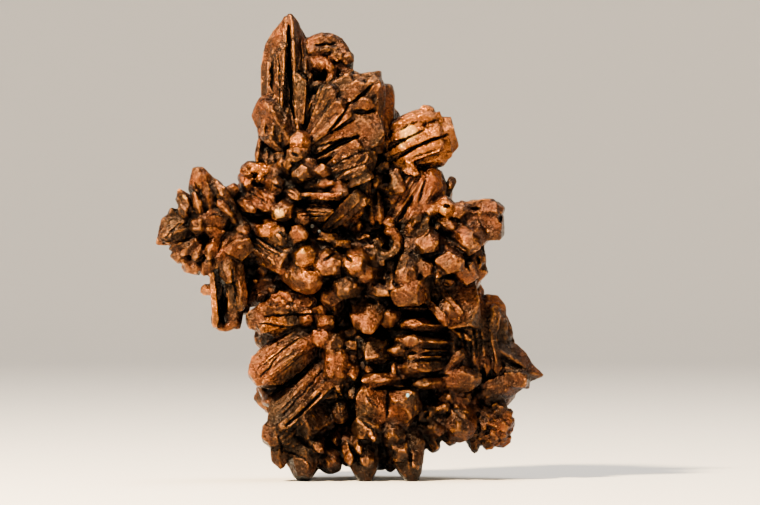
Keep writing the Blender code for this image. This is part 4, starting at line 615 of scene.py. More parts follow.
# Grooves and slots in the front: each a line of (x, z), its width and its depth.
GROOVES = {
    "spire_and_fan": (
        (((-9.8, 72.2), (-9.7, 68.0), (-9.5, 65.0), (-9.4, 60.0), (-9.0, 57.4)), 0.6, 2.2),
        (((-12.4, 66.6), (-12.4, 62.0)), 0.45, 0.9),
        (((-11.3, 68.8), (-11.2, 60.0)), 0.3, 0.5),
        (((-7.9, 70.2), (-7.6, 66.4)), 0.4, 0.5),
        (((-8.0, 64.9), (-6.9, 63.6)), 0.8, 1.2),
        (((-5.4, 69.1), (-2.4, 69.4)), 0.35, 0.8),
        (((-3.4, 55.0), (0.2, 60.0)), 0.5, 1.1),
        (((3.5, 62.8), (0.6, 59.9)), 0.6, 1.4),
        (((0.8, 58.3), (2.8, 58.5)), 0.9, 1.0),
        (((-5.4, 53.0), (1.6, 54.6)), 0.5, 0.9),
        (((-5.6, 51.2), (-1.0, 53.8), (1.0, 54.4)), 0.9, 2.0),
        (((-3.2, 49.6), (1.4, 52.2)), 0.35, 0.6),
        (((-2.4, 48.4), (2.4, 50.4)), 0.35, 0.6),
        (((1.0, 50.0), (2.4, 51.6)), 0.8, 0.5),
    ),
    "crowd": (
        (((-9.2, 52.0), (-8.2, 51.5)), 0.55, 0.7),
        (((-8.2, 43.6), (-3.8, 43.4)), 0.35, 0.7),
        (((-8.2, 42.8), (-3.9, 42.6)), 0.35, 0.7),
        (((-7.6, 42.0), (-4.6, 42.0)), 0.3, 0.6),
        (((-12.0, 47.0), (-10.9, 46.5)), 0.5, 0.8),
        (((-10.2, 45.9), (-8.8, 45.2)), 0.3, 0.5),
        (((-15.9, 46.0), (-13.2, 43.9)), 0.35, 0.6),
    ),
    "left_arm_and_band": (
        (((-24.8, 48.0), (-23.4, 45.0)), 0.35, 0.5),
        (((-25.6, 45.4), (-24.6, 42.6)), 0.35, 0.6),
        (((-20.6, 42.2), (-22.2, 42.3)), 0.35, 0.5),
        (((-19.6, 44.4), (-18.4, 42.6)), 0.35, 0.5),
        (((-29.8, 38.2), (-26.8, 40.9)), 0.3, 0.5),
        (((-29.6, 37.8), (-27.0, 38.8)), 0.3, 0.5),
        (((-20.6, 31.2), (-20.1, 25.2)), 1.5, 3.0),
        (((-18.6, 33.6), (-18.0, 27.2)), 0.4, 0.6),
        (((-16.2, 39.4), (-10.4, 36.2)), 0.45, 0.9),
        (((-15.4, 38.0), (-11.0, 35.5)), 0.35, 0.7),
        (((-11.2, 39.5), (-10.2, 38.6)), 0.45, 0.8),
        (((-3.9, 35.1), (-2.3, 36.1)), 0.5, 1.1),
        (((-0.6, 35.6), (0.3, 34.8)), 0.6, 0.9),
        (((2.6, 29.0), (3.9, 28.2)), 0.9, 1.3),
        (((-8.2, 33.8), (-6.8, 32.4)), 0.3, 0.4),
        (((-1.2, 33.0), (-0.8, 30.8)), 0.3, 0.4),
    ),
    "golden_block_and_right_arm": (
        (((7.2, 53.3), (12.6, 56.2)), 0.4, 0.8),
        (((7.8, 51.4), (10.8, 53.2), (15.4, 55.0)), 0.5, 1.0),
        (((7.4, 55.4), (10.6, 57.0)), 0.35, 0.7),
        (((9.4, 51.2), (13.8, 52.6)), 0.35, 0.6),
        (((9.9, 45.0), (7.6, 41.2)), 0.6, 1.1),
        (((12.0, 48.6), (10.9, 43.6)), 0.4, 0.7),
        (((5.4, 48.4), (6.2, 47.6)), 1.1, 1.4),
        (((23.8, 42.2), (23.8, 41.0)), 0.7, 0.9),
        (((19.2, 43.3), (20.6, 43.2)), 0.7, 1.0),
        (((13.4, 39.8), (18.2, 36.8)), 0.6, 1.0),
        (((20.0, 35.6), (20.5, 34.6)), 0.5, 0.8),
        (((18.3, 34.2), (18.9, 33.4)), 0.4, 0.6),
        (((14.9, 43.6), (15.9, 43.4)), 0.7, 0.8),
        (((10.6, 31.4), (12.2, 30.0)), 0.35, 0.5),
        (((11.4, 38.6), (12.6, 39.6)), 0.3, 0.5),
    ),
    "lower_left": (
        (((-13.4, 26.2), (-9.0, 26.5), (-4.4, 26.6)), 0.4, 0.9),
        (((-14.2, 25.0), (-9.6, 24.4)), 0.4, 0.7),
        (((-7.8, 22.8), (-14.2, 18.2)), 0.35, 0.6),
        (((-10.8, 20.4), (-14.2, 16.6)), 0.35, 0.6),
        (((-5.2, 19.4), (-8.8, 16.2), (-12.8, 13.6)), 0.8, 1.8),
        (((-4.4, 17.2), (-10.6, 10.6)), 0.3, 0.6),
        (((-4.6, 13.9), (-9.9, 8.9)), 0.55, 1.2),
        (((-8.6, 7.2), (-5.0, 4.6)), 0.5, 1.0),
        (((-10.4, 5.0), (-7.2, 3.6), (-6.2, 2.4)), 0.4, 0.7),
        (((-11.4, 7.4), (-10.6, 4.4)), 0.4, 0.6),
        (((-1.9, 12.4), (-1.5, 10.6)), 0.3, 0.4),
    ),
    "lower_right": (
        (((8.4, 26.4), (13.6, 26.7)), 1.1, 1.8),
        (((8.8, 23.4), (15.6, 23.3)), 0.7, 1.4),
        (((9.0, 19.1), (15.6, 19.3)), 0.4, 0.9),
        (((3.4, 14.9), (10.4, 14.8)), 0.6, 1.2),
        (((10.8, 17.0), (15.4, 16.7)), 0.5, 1.0),
        (((-0.3, 6.5), (0.8, 4.5), (1.6, 2.6)), 0.6, 1.2),
        (((6.9, 5.0), (7.0, 3.0)), 0.6, 1.0),
        (((9.2, 5.6), (9.6, 2.6)), 0.4, 0.6),
        (((5.9, 14.4), (5.8, 10.4)), 0.5, 1.2),
        (((2.2, 9.4), (4.6, 7.4)), 0.4, 0.7),
        (((2.4, 13.6), (4.4, 11.8)), 0.4, 0.6),
        (((24.0, 19.3), (27.6, 17.7)), 0.5, 0.9),
        (((17.0, 28.6), (18.4, 20.6)), 0.5, 1.0),
        (((18.8, 28.8), (20.2, 20.0)), 0.5, 1.0),
        (((15.6, 12.6), (18.2, 9.0)), 0.4, 0.6),
        (((9.0, 14.0), (9.2, 13.5)), 0.4, 0.3),
    ),
}
# How grooves are cut, in mm: the step along them, how far above and below each step the skin may be pushed in,
# and how they wander from their line. They start and end shallow, and have a least half-width.
GROOVE_STEP = 0.2
GROOVE_HEIGHT = 1.0
GROOVE_WANDER = 1.6
GROOVE_STRAY = 0.28
GROOVE_SHALLOW = 0.35
GROOVE_END = 0.08
GROOVE_UNEVEN = 0.3
NARROWEST_GROOVE = 0.12
FRONT_OF_ALL = -30.0


def fan_rows(root, heading, length, width, count, spread):
    """A burr of crystals round one heading: the middle one is the longest."""
    root = Vector(root)
    heading = Vector(heading).normalized()
    across = heading.orthogonal().normalized()
    rows = []
    for i in range(count):
        share = i / (count - 1)
        tilt = math.radians(spread) * math.sqrt(share)
        side = Quaternion(heading, i * GOLDEN_ANGLE) @ across
        along = heading * math.cos(tilt) + side * math.sin(tilt)
        reach = length * (1.0 - FAN_SHORTER * share + FAN_UNEVEN_LENGTH * math.sin(5 * i))
        wide = width * (1.0 + FAN_UNEVEN_WIDTH * math.sin(3 * i))
        thick = wide * (FAN_FLATNESS + FAN_UNEVEN_WIDTH * math.cos(4 * i))
        kind = FAN_KINDS[i % len(FAN_KINDS)]
        start = root + along * reach * FAN_ROOT
        rows.append((kind, tuple(start), tuple(root + along * reach), wide, thick))
    return rows


def deselect():
    if bpy.context.object and bpy.context.object.mode != "OBJECT":
        bpy.ops.object.mode_set(mode="OBJECT")
    bpy.ops.object.select_all(action="DESELECT")


def activate(obj):
    deselect()
    obj.select_set(True)
    bpy.context.view_layer.objects.active = obj


def pick(obj, parts, chosen):
    """Enters edit mode with only the faces or edges that the test picks selected."""
    bpy.ops.object.mode_set(mode="OBJECT")
    mesh = obj.data
    for each in (mesh.vertices, mesh.edges, mesh.polygons):
        each.foreach_set("select", [False] * len(each))
    for item in getattr(mesh, parts):
        item.select = chosen(item)
    bpy.context.tool_settings.mesh_select_mode = (False, parts == "edges", parts == "polygons")
    bpy.ops.object.mode_set(mode="EDIT")


def model_crystal(kind, aspect, variant):
    """One crystal of width 1 that grows up from the origin, with worn edges."""
    deselect()
    sides, rings = PROFILES[kind]
    radius = 0.5 / math.cos(math.pi / sides)
    turn = math.pi / sides if sides == 4 and kind not in RIDGED else 0.0
    (low, low_width), (high, high_width) = rings[:2]
    bpy.ops.mesh.primitive_cone_add(
        vertices=sides, radius1=radius * low_width, radius2=radius * high_width,
        depth=(high - low) * aspect, location=(0, 0, (low + high) / 2 * aspect), rotation=(0, 0, turn),
    )
    crystal = bpy.context.object
    crystal.name = f"{kind}_{aspect:.1f}_{variant}"
    bpy.ops.object.transform_apply(location=True, rotation=True, scale=False)
    for (z_before, width_before), (z, ring_width) in zip(rings[1:], rings[2:]):
        top = z_before * aspect - TINY
        pick(crystal, "polygons", lambda face: face.normal.z > 0.99 and face.center.z > top)
        step = (0, 0, (z - z_before) * aspect)
        bpy.ops.mesh.extrude_region_move(TRANSFORM_OT_translate={"value": step})
        shrink = ring_width / width_before
        bpy.ops.transform.resize(value=(shrink, shrink, 1), center_override=(0, 0, z * aspect))
    if kind in CUTS:
        cut_end(kind, aspect, random.Random(f"{kind} {aspect} {variant}"))
    bpy.ops.mesh.select_all(action="SELECT")
    bpy.ops.mesh.bevel(offset=EDGE_WEAR, segments=1, affect="EDGES", clamp_overlap=True)
    bpy.ops.object.mode_set(mode="OBJECT")
    return crystal


def cut_end(kind, aspect, draw):
    """Cuts the end of the crystal that is being edited by flat faces, as crystals end."""
    count, tilts, kept, last = CUTS[kind]
    first = draw.uniform(0.0, math.tau)
    faces = []
    for i in range(count):
        turn = first + math.tau * (i + draw.uniform(-CUT_STRAY, CUT_STRAY)) / count
        faces.append((turn, draw.uniform(*tilts), draw.uniform(*kept)))
    faces.append((draw.uniform(0.0, math.tau), draw.uniform(*last), 0.0))
    for turn, tilt, out in faces:
        tilt = math.radians(tilt)
        outward = Vector((math.cos(turn), math.sin(turn), 0))
        normal = outward * math.sin(tilt) + Vector((0, 0, math.cos(tilt)))
        bpy.ops.mesh.select_all(action="SELECT")
        point = outward * out + Vector((0, 0, aspect - TINY))
        bpy.ops.mesh.bisect(plane_co=point, plane_no=normal, use_fill=True, clear_outer=True)


def model_knob():
    """A rounded crystal of width 1: a cube with its corners and edges grown over."""
    deselect()
    bpy.ops.mesh.primitive_cube_add(size=1.0, location=(0, 0, 0.5))
    knob = bpy.context.object
    knob.name = "knob"
    bpy.ops.object.transform_apply(location=True, rotation=False, scale=False)
    bpy.ops.object.mode_set(mode="EDIT")
    bpy.ops.mesh.select_all(action="SELECT")
    bpy.ops.mesh.bevel(offset=KNOB_BEVEL, segments=1, affect="EDGES")
    bpy.ops.mesh.bevel(offset=KNOB_WEAR, segments=1, affect="EDGES")
    bpy.ops.object.mode_set(mode="OBJECT")
    return knob


def model_of(models, kind, aspect, variant):
    """The model of a kind of crystal, made the first time that it is needed."""
    if kind == "knob":
        aspect, variant = 1.0, 0
    elif kind not in CUTS:
        variant = 0
    key = (kind, aspect, variant)
    if key not in models:
        models[key] = model_knob() if kind == "knob" else model_crystal(*key)
    return models[key], aspect


def grown_place(point):
    """A point of the rows with the slow waviness of grown faces, in the part's own frame."""
    wavy = point + WARP_SIZE * noise.noise_vector(point / WARP_SPACING)
    return (wavy - FOOTPRINT_MIDDLE) * MM


def frame_of(start, end):
    """A crystal's directions: across the front view, towards the back, and along it."""
    axis = (end - start).normalized()
    depth = Vector((0, 1, 0)) if abs(axis.y) < 0.9 else Vector((0, 0, -1))
    side = depth.cross(axis).normalized()
    return side, axis.cross(side), axis


def rooted(start, end):
    """The start of a crystal that points out of the mass is sunk deeper into it."""
    axis = (end - start).normalized()
    return start + Vector((0, ROOT_DEPTH, 0)) if axis.y < -STEEP else start


def sheaf(row, draw):
    """The ribs that a sheaf is made of, and a fuller crystal behind them that joins them."""
    _, start, end, width, thick = row
    side, back, axis = frame_of(start, end)
    count = max(2, min(MOST_RIBS, round(width / RIB_WIDTH)))
    made = [("slab", start, end, width * JOINING_WIDTH, thick * JOINING_THICKNESS)]
    for i in range(count):
        across = ((i + 0.5) / count - 0.5) * width
        lift = -back * thick * draw.uniform(0.0, RIB_LIFT)
        first = start.lerp(end, draw.uniform(0.0, RIB_LATEST_START)) + side * across * RIB_GATHER + lift
        reach = draw.uniform(*RIB_REACHES) - RIB_SHORTER_ASIDE * abs(across) / width
        last = start.lerp(end, reach) + side * across + lift
        rib = draw.choice(("bullet", "petal", "petal"))
        wide = width / count * draw.uniform(*RIB_WIDTHS)
        made.append((rib, first, last, wide, thick * draw.uniform(*RIB_THICKNESSES)))
    return made


def place_copy(model, aspect, crystal, draw):
    """A copy of a model, with its own mesh, stretched to its size, leant and warped into its place."""
    _, start, end, width, thick = crystal
    length = (end - start).length
    side, back, axis = frame_of(start, end)
    turn = Matrix((side, back, axis)).transposed().to_4x4()
    place = Matrix.Translation(start) @ turn @ Matrix.Diagonal((width, thick, length / aspect, 1))
    skew = Vector((draw.uniform(-LEAN, LEAN), draw.uniform(-LEAN, LEAN), 0))
    mesh = model.data.copy()
    for vert in mesh.vertices:
        above = max(0.0, vert.co.z / aspect - LEAN_FROM)
        vert.co = grown_place(place @ (vert.co + skew * above))
    copy = bpy.data.objects.new(model.name, mesh)
    bpy.context.scene.collection.objects.link(copy)
    return copy


def mass_of_knob(start, end, width, thick):
    """A large knob is a mass of its own."""
    side, back, axis = frame_of(start, end)
    turn = Matrix((side, back, axis)).transposed()
    radii = (width / 2, thick / 2, (end - start).length / 2)
    return add_mass((start + end) / 2, radii, turn)


def grow_crystals(rows, models, seed):
    """All crystals of some rows, as copies of the modelled ones."""
    copies = []
    for number, (kind, start, end, width, thick) in enumerate(rows):
        draw = random.Random(seed * 1000 + number)
        start, end = Vector(start), Vector(end)
        if kind == "knob" and width > COBBLED_KNOB:
            copies.append(mass_of_knob(start, end, width, thick))
            continue
        start = rooted(start, end)
        steep = (end - start).normalized().y < -STEEP
        swell = STEEP_SWELL if steep and kind != "sheaf" else SWELL
        crystal = (kind, start, end, width * swell, thick * swell)
        for part in sheaf(crystal, draw) if kind == "sheaf" else (crystal,):
            slender = (part[2] - part[1]).length / part[3]
            aspect = min(ASPECTS, key=lambda value: abs(math.log(value / slender)))
            model, aspect = model_of(models, part[0], aspect, draw.randrange(VARIANTS))
            copies.append(place_copy(model, aspect, part, draw))
    return copies


def cobbled(point, away):
    """A point of a mass, raised on the cobble that it belongs to."""
    near = noise.voronoi(point / COBBLE_SIZE, distance_metric="CHEBYCHEV")[0]
    seam = min(1.0, (near[1] - near[0]) / COBBLE_SEAM)
    return point + away * COBBLE_HEIGHT * (seam * (2.0 - seam) - COBBLE_SINK)


def add_mass(centre, radii, turn=None):
    """A rounded mass of small crystals that larger ones spring from."""
    deselect()
    turn = turn or Matrix.Identity(3)
    finer = 4 if max(radii) > LARGE_MASS else 3
    bpy.ops.mesh.primitive_ico_sphere_add(subdivisions=finer, radius=1.0)
    mass = bpy.context.object
    centre = Vector(centre) + Vector((0, SET_BACK, 0))
    for vert in mass.data.vertices:
        offset = turn @ Vector(v * r for v, r in zip(vert.co, radii))
        vert.co = grown_place(cobbled(centre + offset, (turn @ vert.co).normalized()))
    return mass


def filler_rows(centre, radii, seed, side=-1, size=1.0):
    """Small crystals spread over the front or back of a mass, pointing away from its middle."""
    centre = Vector(centre) + Vector((0, SET_BACK, 0))
    draw = random.Random(seed)
    half_skin = 2.0 * math.pi * radii[0] * radii[2]
    count = int(half_skin / (FILLER_SPACING * size) ** 2)
    rows = []
    for i in range(count):
        height = 1.0 - (i + 0.5) / count
        ring = math.sqrt(1.0 - height * height)
        turn = i * GOLDEN_ANGLE
        way = Vector((ring * math.cos(turn), side * height, ring * math.sin(turn)))
        surface = centre + Vector(w * r for w, r in zip(way, radii))
        heading = Vector(w / r for w, r in zip(way, radii)).normalized()
        stray = Vector(draw.uniform(-FILLER_STRAY, FILLER_STRAY) for _ in range(3))
        heading = (heading + stray).normalized()
        rise = FILLER_RISE * size * draw.uniform(*FILLER_RISES)
        width = FILLER_WIDTH * size * draw.uniform(*FILLER_WIDTHS)
        kind = draw.choice(FILLER_KINDS)
        start = surface - heading * (FILLER_LENGTH * size - rise)
        end = surface + heading * rise
        rows.append((kind, tuple(start), tuple(end), width, width * draw.uniform(*FILLER_THICKNESSES)))
    return rows


def crumb_rows(centre, radii, size, seed):
    """A crust of small grains over the front of a rounded lump."""
    draw = random.Random(seed)
    count = int(math.pi * radii[0] * radii[2] * CRUMB_CROWD / size ** 2)
    low = Vector(centre) - Vector((0, 0, radii[2] * CRUMB_LUMP))
    high = Vector(centre) + Vector((0, 0, radii[2] * CRUMB_LUMP))
    rows = [("knob", tuple(low), tuple(high), radii[0] * 2 * CRUMB_LUMP, radii[1] * 2 * CRUMB_LUMP)]
    for i in range(count):
        height = 1.0 - (i + 0.5) / count
        ring = math.sqrt(1.0 - height * height)
        turn = i * GOLDEN_ANGLE
        way = Vector((ring * math.cos(turn), -height, ring * math.sin(turn)))
        spot = Vector(centre) + Vector(w * r * CRUMB_LUMP for w, r in zip(way, radii))
        wide = size * draw.uniform(*CRUMB_WIDTHS)
        stray = Vector(draw.uniform(-CRUMB_STRAY, CRUMB_STRAY) for _ in range(3))
        heading = (way + stray).normalized()
        kind = draw.choice(CRUMB_KINDS)
        start = spot - heading * wide * CRUMB_ROOT
        end = spot + heading * wide * draw.uniform(*CRUMB_RISES)
        rows.append((kind, tuple(start), tuple(end), wide, wide * draw.uniform(*CRUMB_THICKNESSES)))
    return rows


def arc_rows(centre, radius, tube, first, last):
    """Beads close together along an arc that faces the front: a curl, or the rim of a dome."""
    count = math.ceil(math.radians(abs(last - first)) * radius / (tube * BEAD_STEP))
    rows = []
    for i in range(count + 1):
        turn = math.radians(first + (last - first) * i / count)
        spot = Vector(centre) + Vector((math.cos(turn), 0, math.sin(turn))) * radius
        along = Vector((-math.sin(turn), 0, math.cos(turn))) * tube * BEAD_REACH
        rows.append(("knob", tuple(spot - along), tuple(spot + along), tube, tube))
    return rows


def striations(rows, seed):
    """Fine grooves along the long crystals of some rows."""
    draw = random.Random(seed)
    lines = []
    for kind, start, end, width, _ in rows:
        (x0, _, z0), (x1, _, z1) = start, end
        length = math.hypot(x1 - x0, z1 - z0)
        if kind not in STRIATED or length < SHORTEST_STRIATED or width < NARROWEST_STRIATED:
            continue
        side = ((z1 - z0) / length, (x0 - x1) / length)
        for _ in range(max(1, round(width / STRIA_SPACING))):
            across = draw.uniform(-STRIA_ASIDE, STRIA_ASIDE) * width
            line = []
            for share in (draw.uniform(*STRIA_STARTS), draw.uniform(*STRIA_ENDS)):
                aside = across * (STRIA_GATHER + (1.0 - STRIA_GATHER) * share)
                x, z = x0 + (x1 - x0) * share, z0 + (z1 - z0) * share
                line.append((x + side[0] * aside, z + side[1] * aside))
            wide = STRIA_WIDTH * draw.uniform(*STRIA_WIDTHS)
            lines.append((line, wide, STRIA_DEPTH * draw.uniform(*STRIA_DEPTHS)))
    return tuple(lines)


def apply_modifier(obj, kind, **settings):
    activate(obj)
    modifier = obj.modifiers.new(kind.lower(), kind)
    for name, value in settings.items():
        setattr(modifier, name, value)
    bpy.ops.object.modifier_apply(modifier=modifier.name)


def noise_texture(name, size, kind="CLOUDS", **settings):
    texture = bpy.data.textures.new(name, kind)
    texture.noise_scale = size
    for key, value in settings.items():
        setattr(texture, key, value)
    return texture


def grow_region(name, copies, textures, cell):
    """Joins crystals into one skin with worn edges, lumps, grit and pits."""
    deselect()
    for copy in copies:
        copy.select_set(True)
    bpy.context.view_layer.objects.active = copies[0]
    bpy.ops.object.join()
    region = bpy.context.object
    region.name = region.data.name = name
    apply_modifier(region, "REMESH", mode="VOXEL", voxel_size=cell, adaptivity=0.0)
    for texture, height, middle in textures:
        apply_modifier(
            region, "DISPLACE", texture=texture, texture_coords="LOCAL",
            direction="NORMAL", strength=height, mid_level=middle,
        )
    faces = sum(len(face.vertices) - 2 for face in region.data.polygons)
    if faces > MOST_FACES:
        apply_modifier(region, "DECIMATE", ratio=MOST_FACES / faces)
    activate(region)
    bpy.ops.object.shade_smooth_by_angle(angle=CRISP)
    return region


def carve(region, grooves):
    """Cuts grooves and slots into the front of a region.

    Each is a line in the front view, a width and a depth.
    """
    mesh = region.data
    tree = BVHTree.FromObject(region, bpy.context.evaluated_depsgraph_get())
    near = KDTree(len(mesh.vertices))
    for vert in mesh.vertices:
        near.insert(vert.co, vert.index)
    near.balance()
    moves = {}
    for line, width, depth in grooves:
        length = sum(math.dist(a, b) for a, b in zip(line, line[1:]))
        done = 0.0
        for (x0, z0), (x1, z1) in zip(line, line[1:]):
            part = math.dist((x0, z0), (x1, z1))
            steps = max(1, round(part / GROOVE_STEP))
            for i in range(steps + 1):
                share = i / steps
                place = Vector((x0 + (x1 - x0) * share, FRONT_OF_ALL, z0 + (z1 - z0) * share))
                stray = noise.noise_vector(Vector((place.x, width, place.z)) / GROOVE_WANDER)
                place += Vector((stray.x, 0, stray.z)) * GROOVE_STRAY
                along = (done + part * share) / length
                swing = math.sin(math.pi * (GROOVE_END + (1.0 - 2 * GROOVE_END) * along))
                fade = GROOVE_SHALLOW + (1.0 - GROOVE_SHALLOW) * swing + GROOVE_UNEVEN * stray.y
                hit = tree.ray_cast(place * MM, Vector((0, 1, 0)))[0]
                if hit is None:
                    continue
                reach = max(NARROWEST_GROOVE, width / 2 * fade) * MM
                for spot, index, _ in near.find_range(hit, reach + GROOVE_HEIGHT * MM):
                    aside = math.hypot(spot.x - hit.x, spot.z - hit.z) / reach
                    if aside < 1.0:
                        push = depth * MM * min(1.0, fade) * (1.0 - aside ** 3)
                        moves[index] = max(moves.get(index, 0.0), push)
            done += part
    for index, push in moves.items():
        mesh.vertices[index].co.y += push


def keep_above_rest(region):
    """Presses what displacement pushed under the resting plane back onto it."""
    for vert in region.data.vertices:
        if vert.co.z < 0.0:
            vert.co.z = 0.0


def hex_colour(code):
    """An sRGB hex colour as linear values."""
    channels = [int(code[i:i + 2], 16) / 255 for i in (1, 3, 5)]
    linear = [c / 12.92 if c <= 0.04045 else ((c + 0.055) / 1.055) ** 2.4 for c in channels]
    return (*linear, 1.0)


def add_node(tree, kind, settings=None, **links):
    """Adds a node with its settings, and links or sets its sockets.

    A socket is given by its name, with _ for a space, or by its number after an i.
    """
    node = tree.nodes.new(kind)
    for key, value in (settings or {}).items():
        setattr(node, key, value)
    for key, value in links.items():
        numbered = key[0] == "i" and key[1:].isdigit()
        socket = node.inputs[int(key[1:]) if numbered else key.replace("_", " ")]
        if isinstance(value, bpy.types.NodeSocket):
            tree.links.new(value, socket)
        else:
            socket.default_value = value
    return node


def set_ramp(ramp, stops):
    """Gives a colour ramp its (place, colour) stops."""
    elements = ramp.color_ramp.elements
    while len(elements) < len(stops):
        elements.new(0.5)
    for element, (place, colour) in zip(elements, stops):
        element.position = place
        element.color = colour


def grey(value):
    return (value, value, value, 1.0)


def sums(tree, operation, first, second):
    """The result of a sum on two numbers."""
    return add_node(tree, "ShaderNodeMath", {"operation": operation}, i0=first, i1=second).outputs[0]


def vectors(tree, operation, first, second=(0, 0, 0)):
    """The result of a sum on two vectors."""
    return add_node(tree, "ShaderNodeVectorMath", {"operation": operation}, i0=first, i1=second).outputs[0]


def near_places(tree, place, places, squash=1.0):
    """How near a point is to the middles of some balls, from 0 at their skins to 1 well inside them.

    A squash below 1 makes the balls that much longer from front to back.
    """
    nearest = None
    squashed = vectors(tree, "MULTIPLY", place, (1, squash, 1))
    for centre, radius in places:
        middle = (Vector(centre) - FOOTPRINT_MIDDLE) * MM
        middle.y *= squash
        away = add_node(tree, "ShaderNodeVectorMath", {"operation": "DISTANCE"}, i0=squashed, i1=middle)
        inside = add_node(
            tree, "ShaderNodeMapRange", {"interpolation_type": "SMOOTHSTEP"},
            Value=away.outputs["Value"], From_Min=radius * MM, From_Max=radius * MM * WELL_INSIDE,
        ).outputs["Result"]
        if nearest is not None:
            inside = sums(tree, "MAXIMUM", nearest, inside)
        nearest = inside
    return nearest


def mixed(tree, share, first, second, blend="MIX"):
    """The colour between two, by a share."""
    return add_node(
        tree, "ShaderNodeMix", {"data_type": "RGBA", "blend_type": blend}, i0=share, i6=first, i7=second,
    ).outputs[2]


def ranged(tree, value, low, high, first=0.0, last=1.0):
    """A value mapped from one range to another."""
    return add_node(
        tree, "ShaderNodeMapRange", Value=value, From_Min=low, From_Max=high, To_Min=first, To_Max=last,
    ).outputs["Result"]


# How far inside a ball of the finish its effect is full, as a share of its radius.
WELL_INSIDE = 0.6

# Balls in which the finish differs: centre and radius. Golden balls hold painted golden highlights, pink ones
# fresh metal, polished ones painted highlights on smoother metal, and grainy ones a pitted skin. Painted shade
# darkens the places where less light reaches, and the deep recesses most.
GOLDEN_HIGHLIGHTS = (
    ((11.0, -3.0, 54.6), 7.0), ((14.8, -5.6, 43.0), 2.2), ((-7.8, -9.6, 36.6), 1.8),
    ((-12.6, -6.4, 40.6), 2.4), ((-6.4, -9.6, 33.6), 2.4), ((0.2, -9.0, 34.6), 2.0),
    ((-14.6, -5.0, 49.4), 2.2), ((-8.0, -6.0, 53.2), 1.8), ((-21.8, -4.6, 28.6), 3.0),
    ((-11.6, -6.2, 24.6), 2.4),
)
PINK = (
    ((11.0, -3.0, 45.4), 5.0), ((9.6, -7.0, 29.8), 3.2), ((5.8, -2.0, 58.0), 3.4),
    ((-4.2, -3.0, 65.6), 3.0),
)
POLISHED_HIGHLIGHTS = (
    ((-11.4, -9.6, 42.3), 1.2), ((-26.2, -6.8, 45.2), 0.8), ((9.2, -4.2, 55.2), 1.7),
    ((8.0, -4.4, 53.2), 1.3), ((10.4, -4.4, 51.8), 1.0), ((-7.4, -10.8, 36.6), 0.8),
    ((-6.0, -10.6, 33.2), 0.8), ((0.2, -10.2, 34.4), 0.8), ((14.8, -6.6, 43.2), 0.9),
    ((-1.4, -8.6, 43.4), 0.7), ((6.4, -4.6, 22.4), 1.0), ((6.2, -5.0, 19.6), 0.9),
)
GRAINY = (
    ((-11.6, -4.0, 63.0), 3.4), ((-12.6, -4.0, 58.8), 2.6), ((1.6, -7.0, 51.0), 2.6),
    ((-14.6, -4.0, 49.0), 3.0), ((3.4, -6.0, 12.4), 3.4), ((18.0, -2.0, 25.0), 6.0),
    ((-8.4, -5.0, 28.4), 4.2), ((-2.2, -6.0, 18.4), 3.0), ((22.4, 0.0, 8.6), 4.4),
)
SHADED_PLACES = (
    ((22.0, -4.0, 41.0), 6.0), ((22.0, 0.0, 12.0), 15.0), ((10.0, -2.0, 4.0), 10.0),
    ((-8.0, -3.0, 6.0), 11.0), ((6.0, 10.0, 16.0), 14.0),
)
SHADED_RECESSES = (
    ((-11.0, -0.4, 32.4), 5.0), ((-6.4, -0.6, 29.6), 4.0), ((0.6, -1.4, 41.0), 5.0),
    ((6.0, -1.0, 42.4), 3.4), ((11.4, -0.6, 26.6), 4.4), ((2.4, 0.0, 21.0), 5.0),
    ((-17.0, -0.8, 34.4), 3.0),
)

# Specks on the front: balls that are long from front to back, so that each reaches the skin there.
SPECK_SQUASH = 0.05
BLUE_SPECK = (((9.1, -6.4, 13.7), 0.3),)
WHITE_GRAINS = (((-6.0, -5.6, 40.4), 0.32), ((-4.9, -5.6, 39.6), 0.26))


# The patterns of the finish, in waves or cells per mm: patches of tarnish, mottling, grit, pits and the small
# facets of grains. Then the relief of the bump in metres, how far grains tilt, and how far painted shade in
# gaps reaches.
PATCHES_PER_MM = 0.15
MOTTLES_PER_MM = 0.7
GRIT_PER_MM = 3.2
PITS_PER_MM = 1.7
FACETS_PER_MM = 2.4
GRIT_RELIEF = 0.16 * MM
PIT_RELIEF = 0.22 * MM
MOTTLE_RELIEF = 0.3 * MM
FACET_TILT = 0.5
GAP_SHADE_REACH = 3.0 * MM


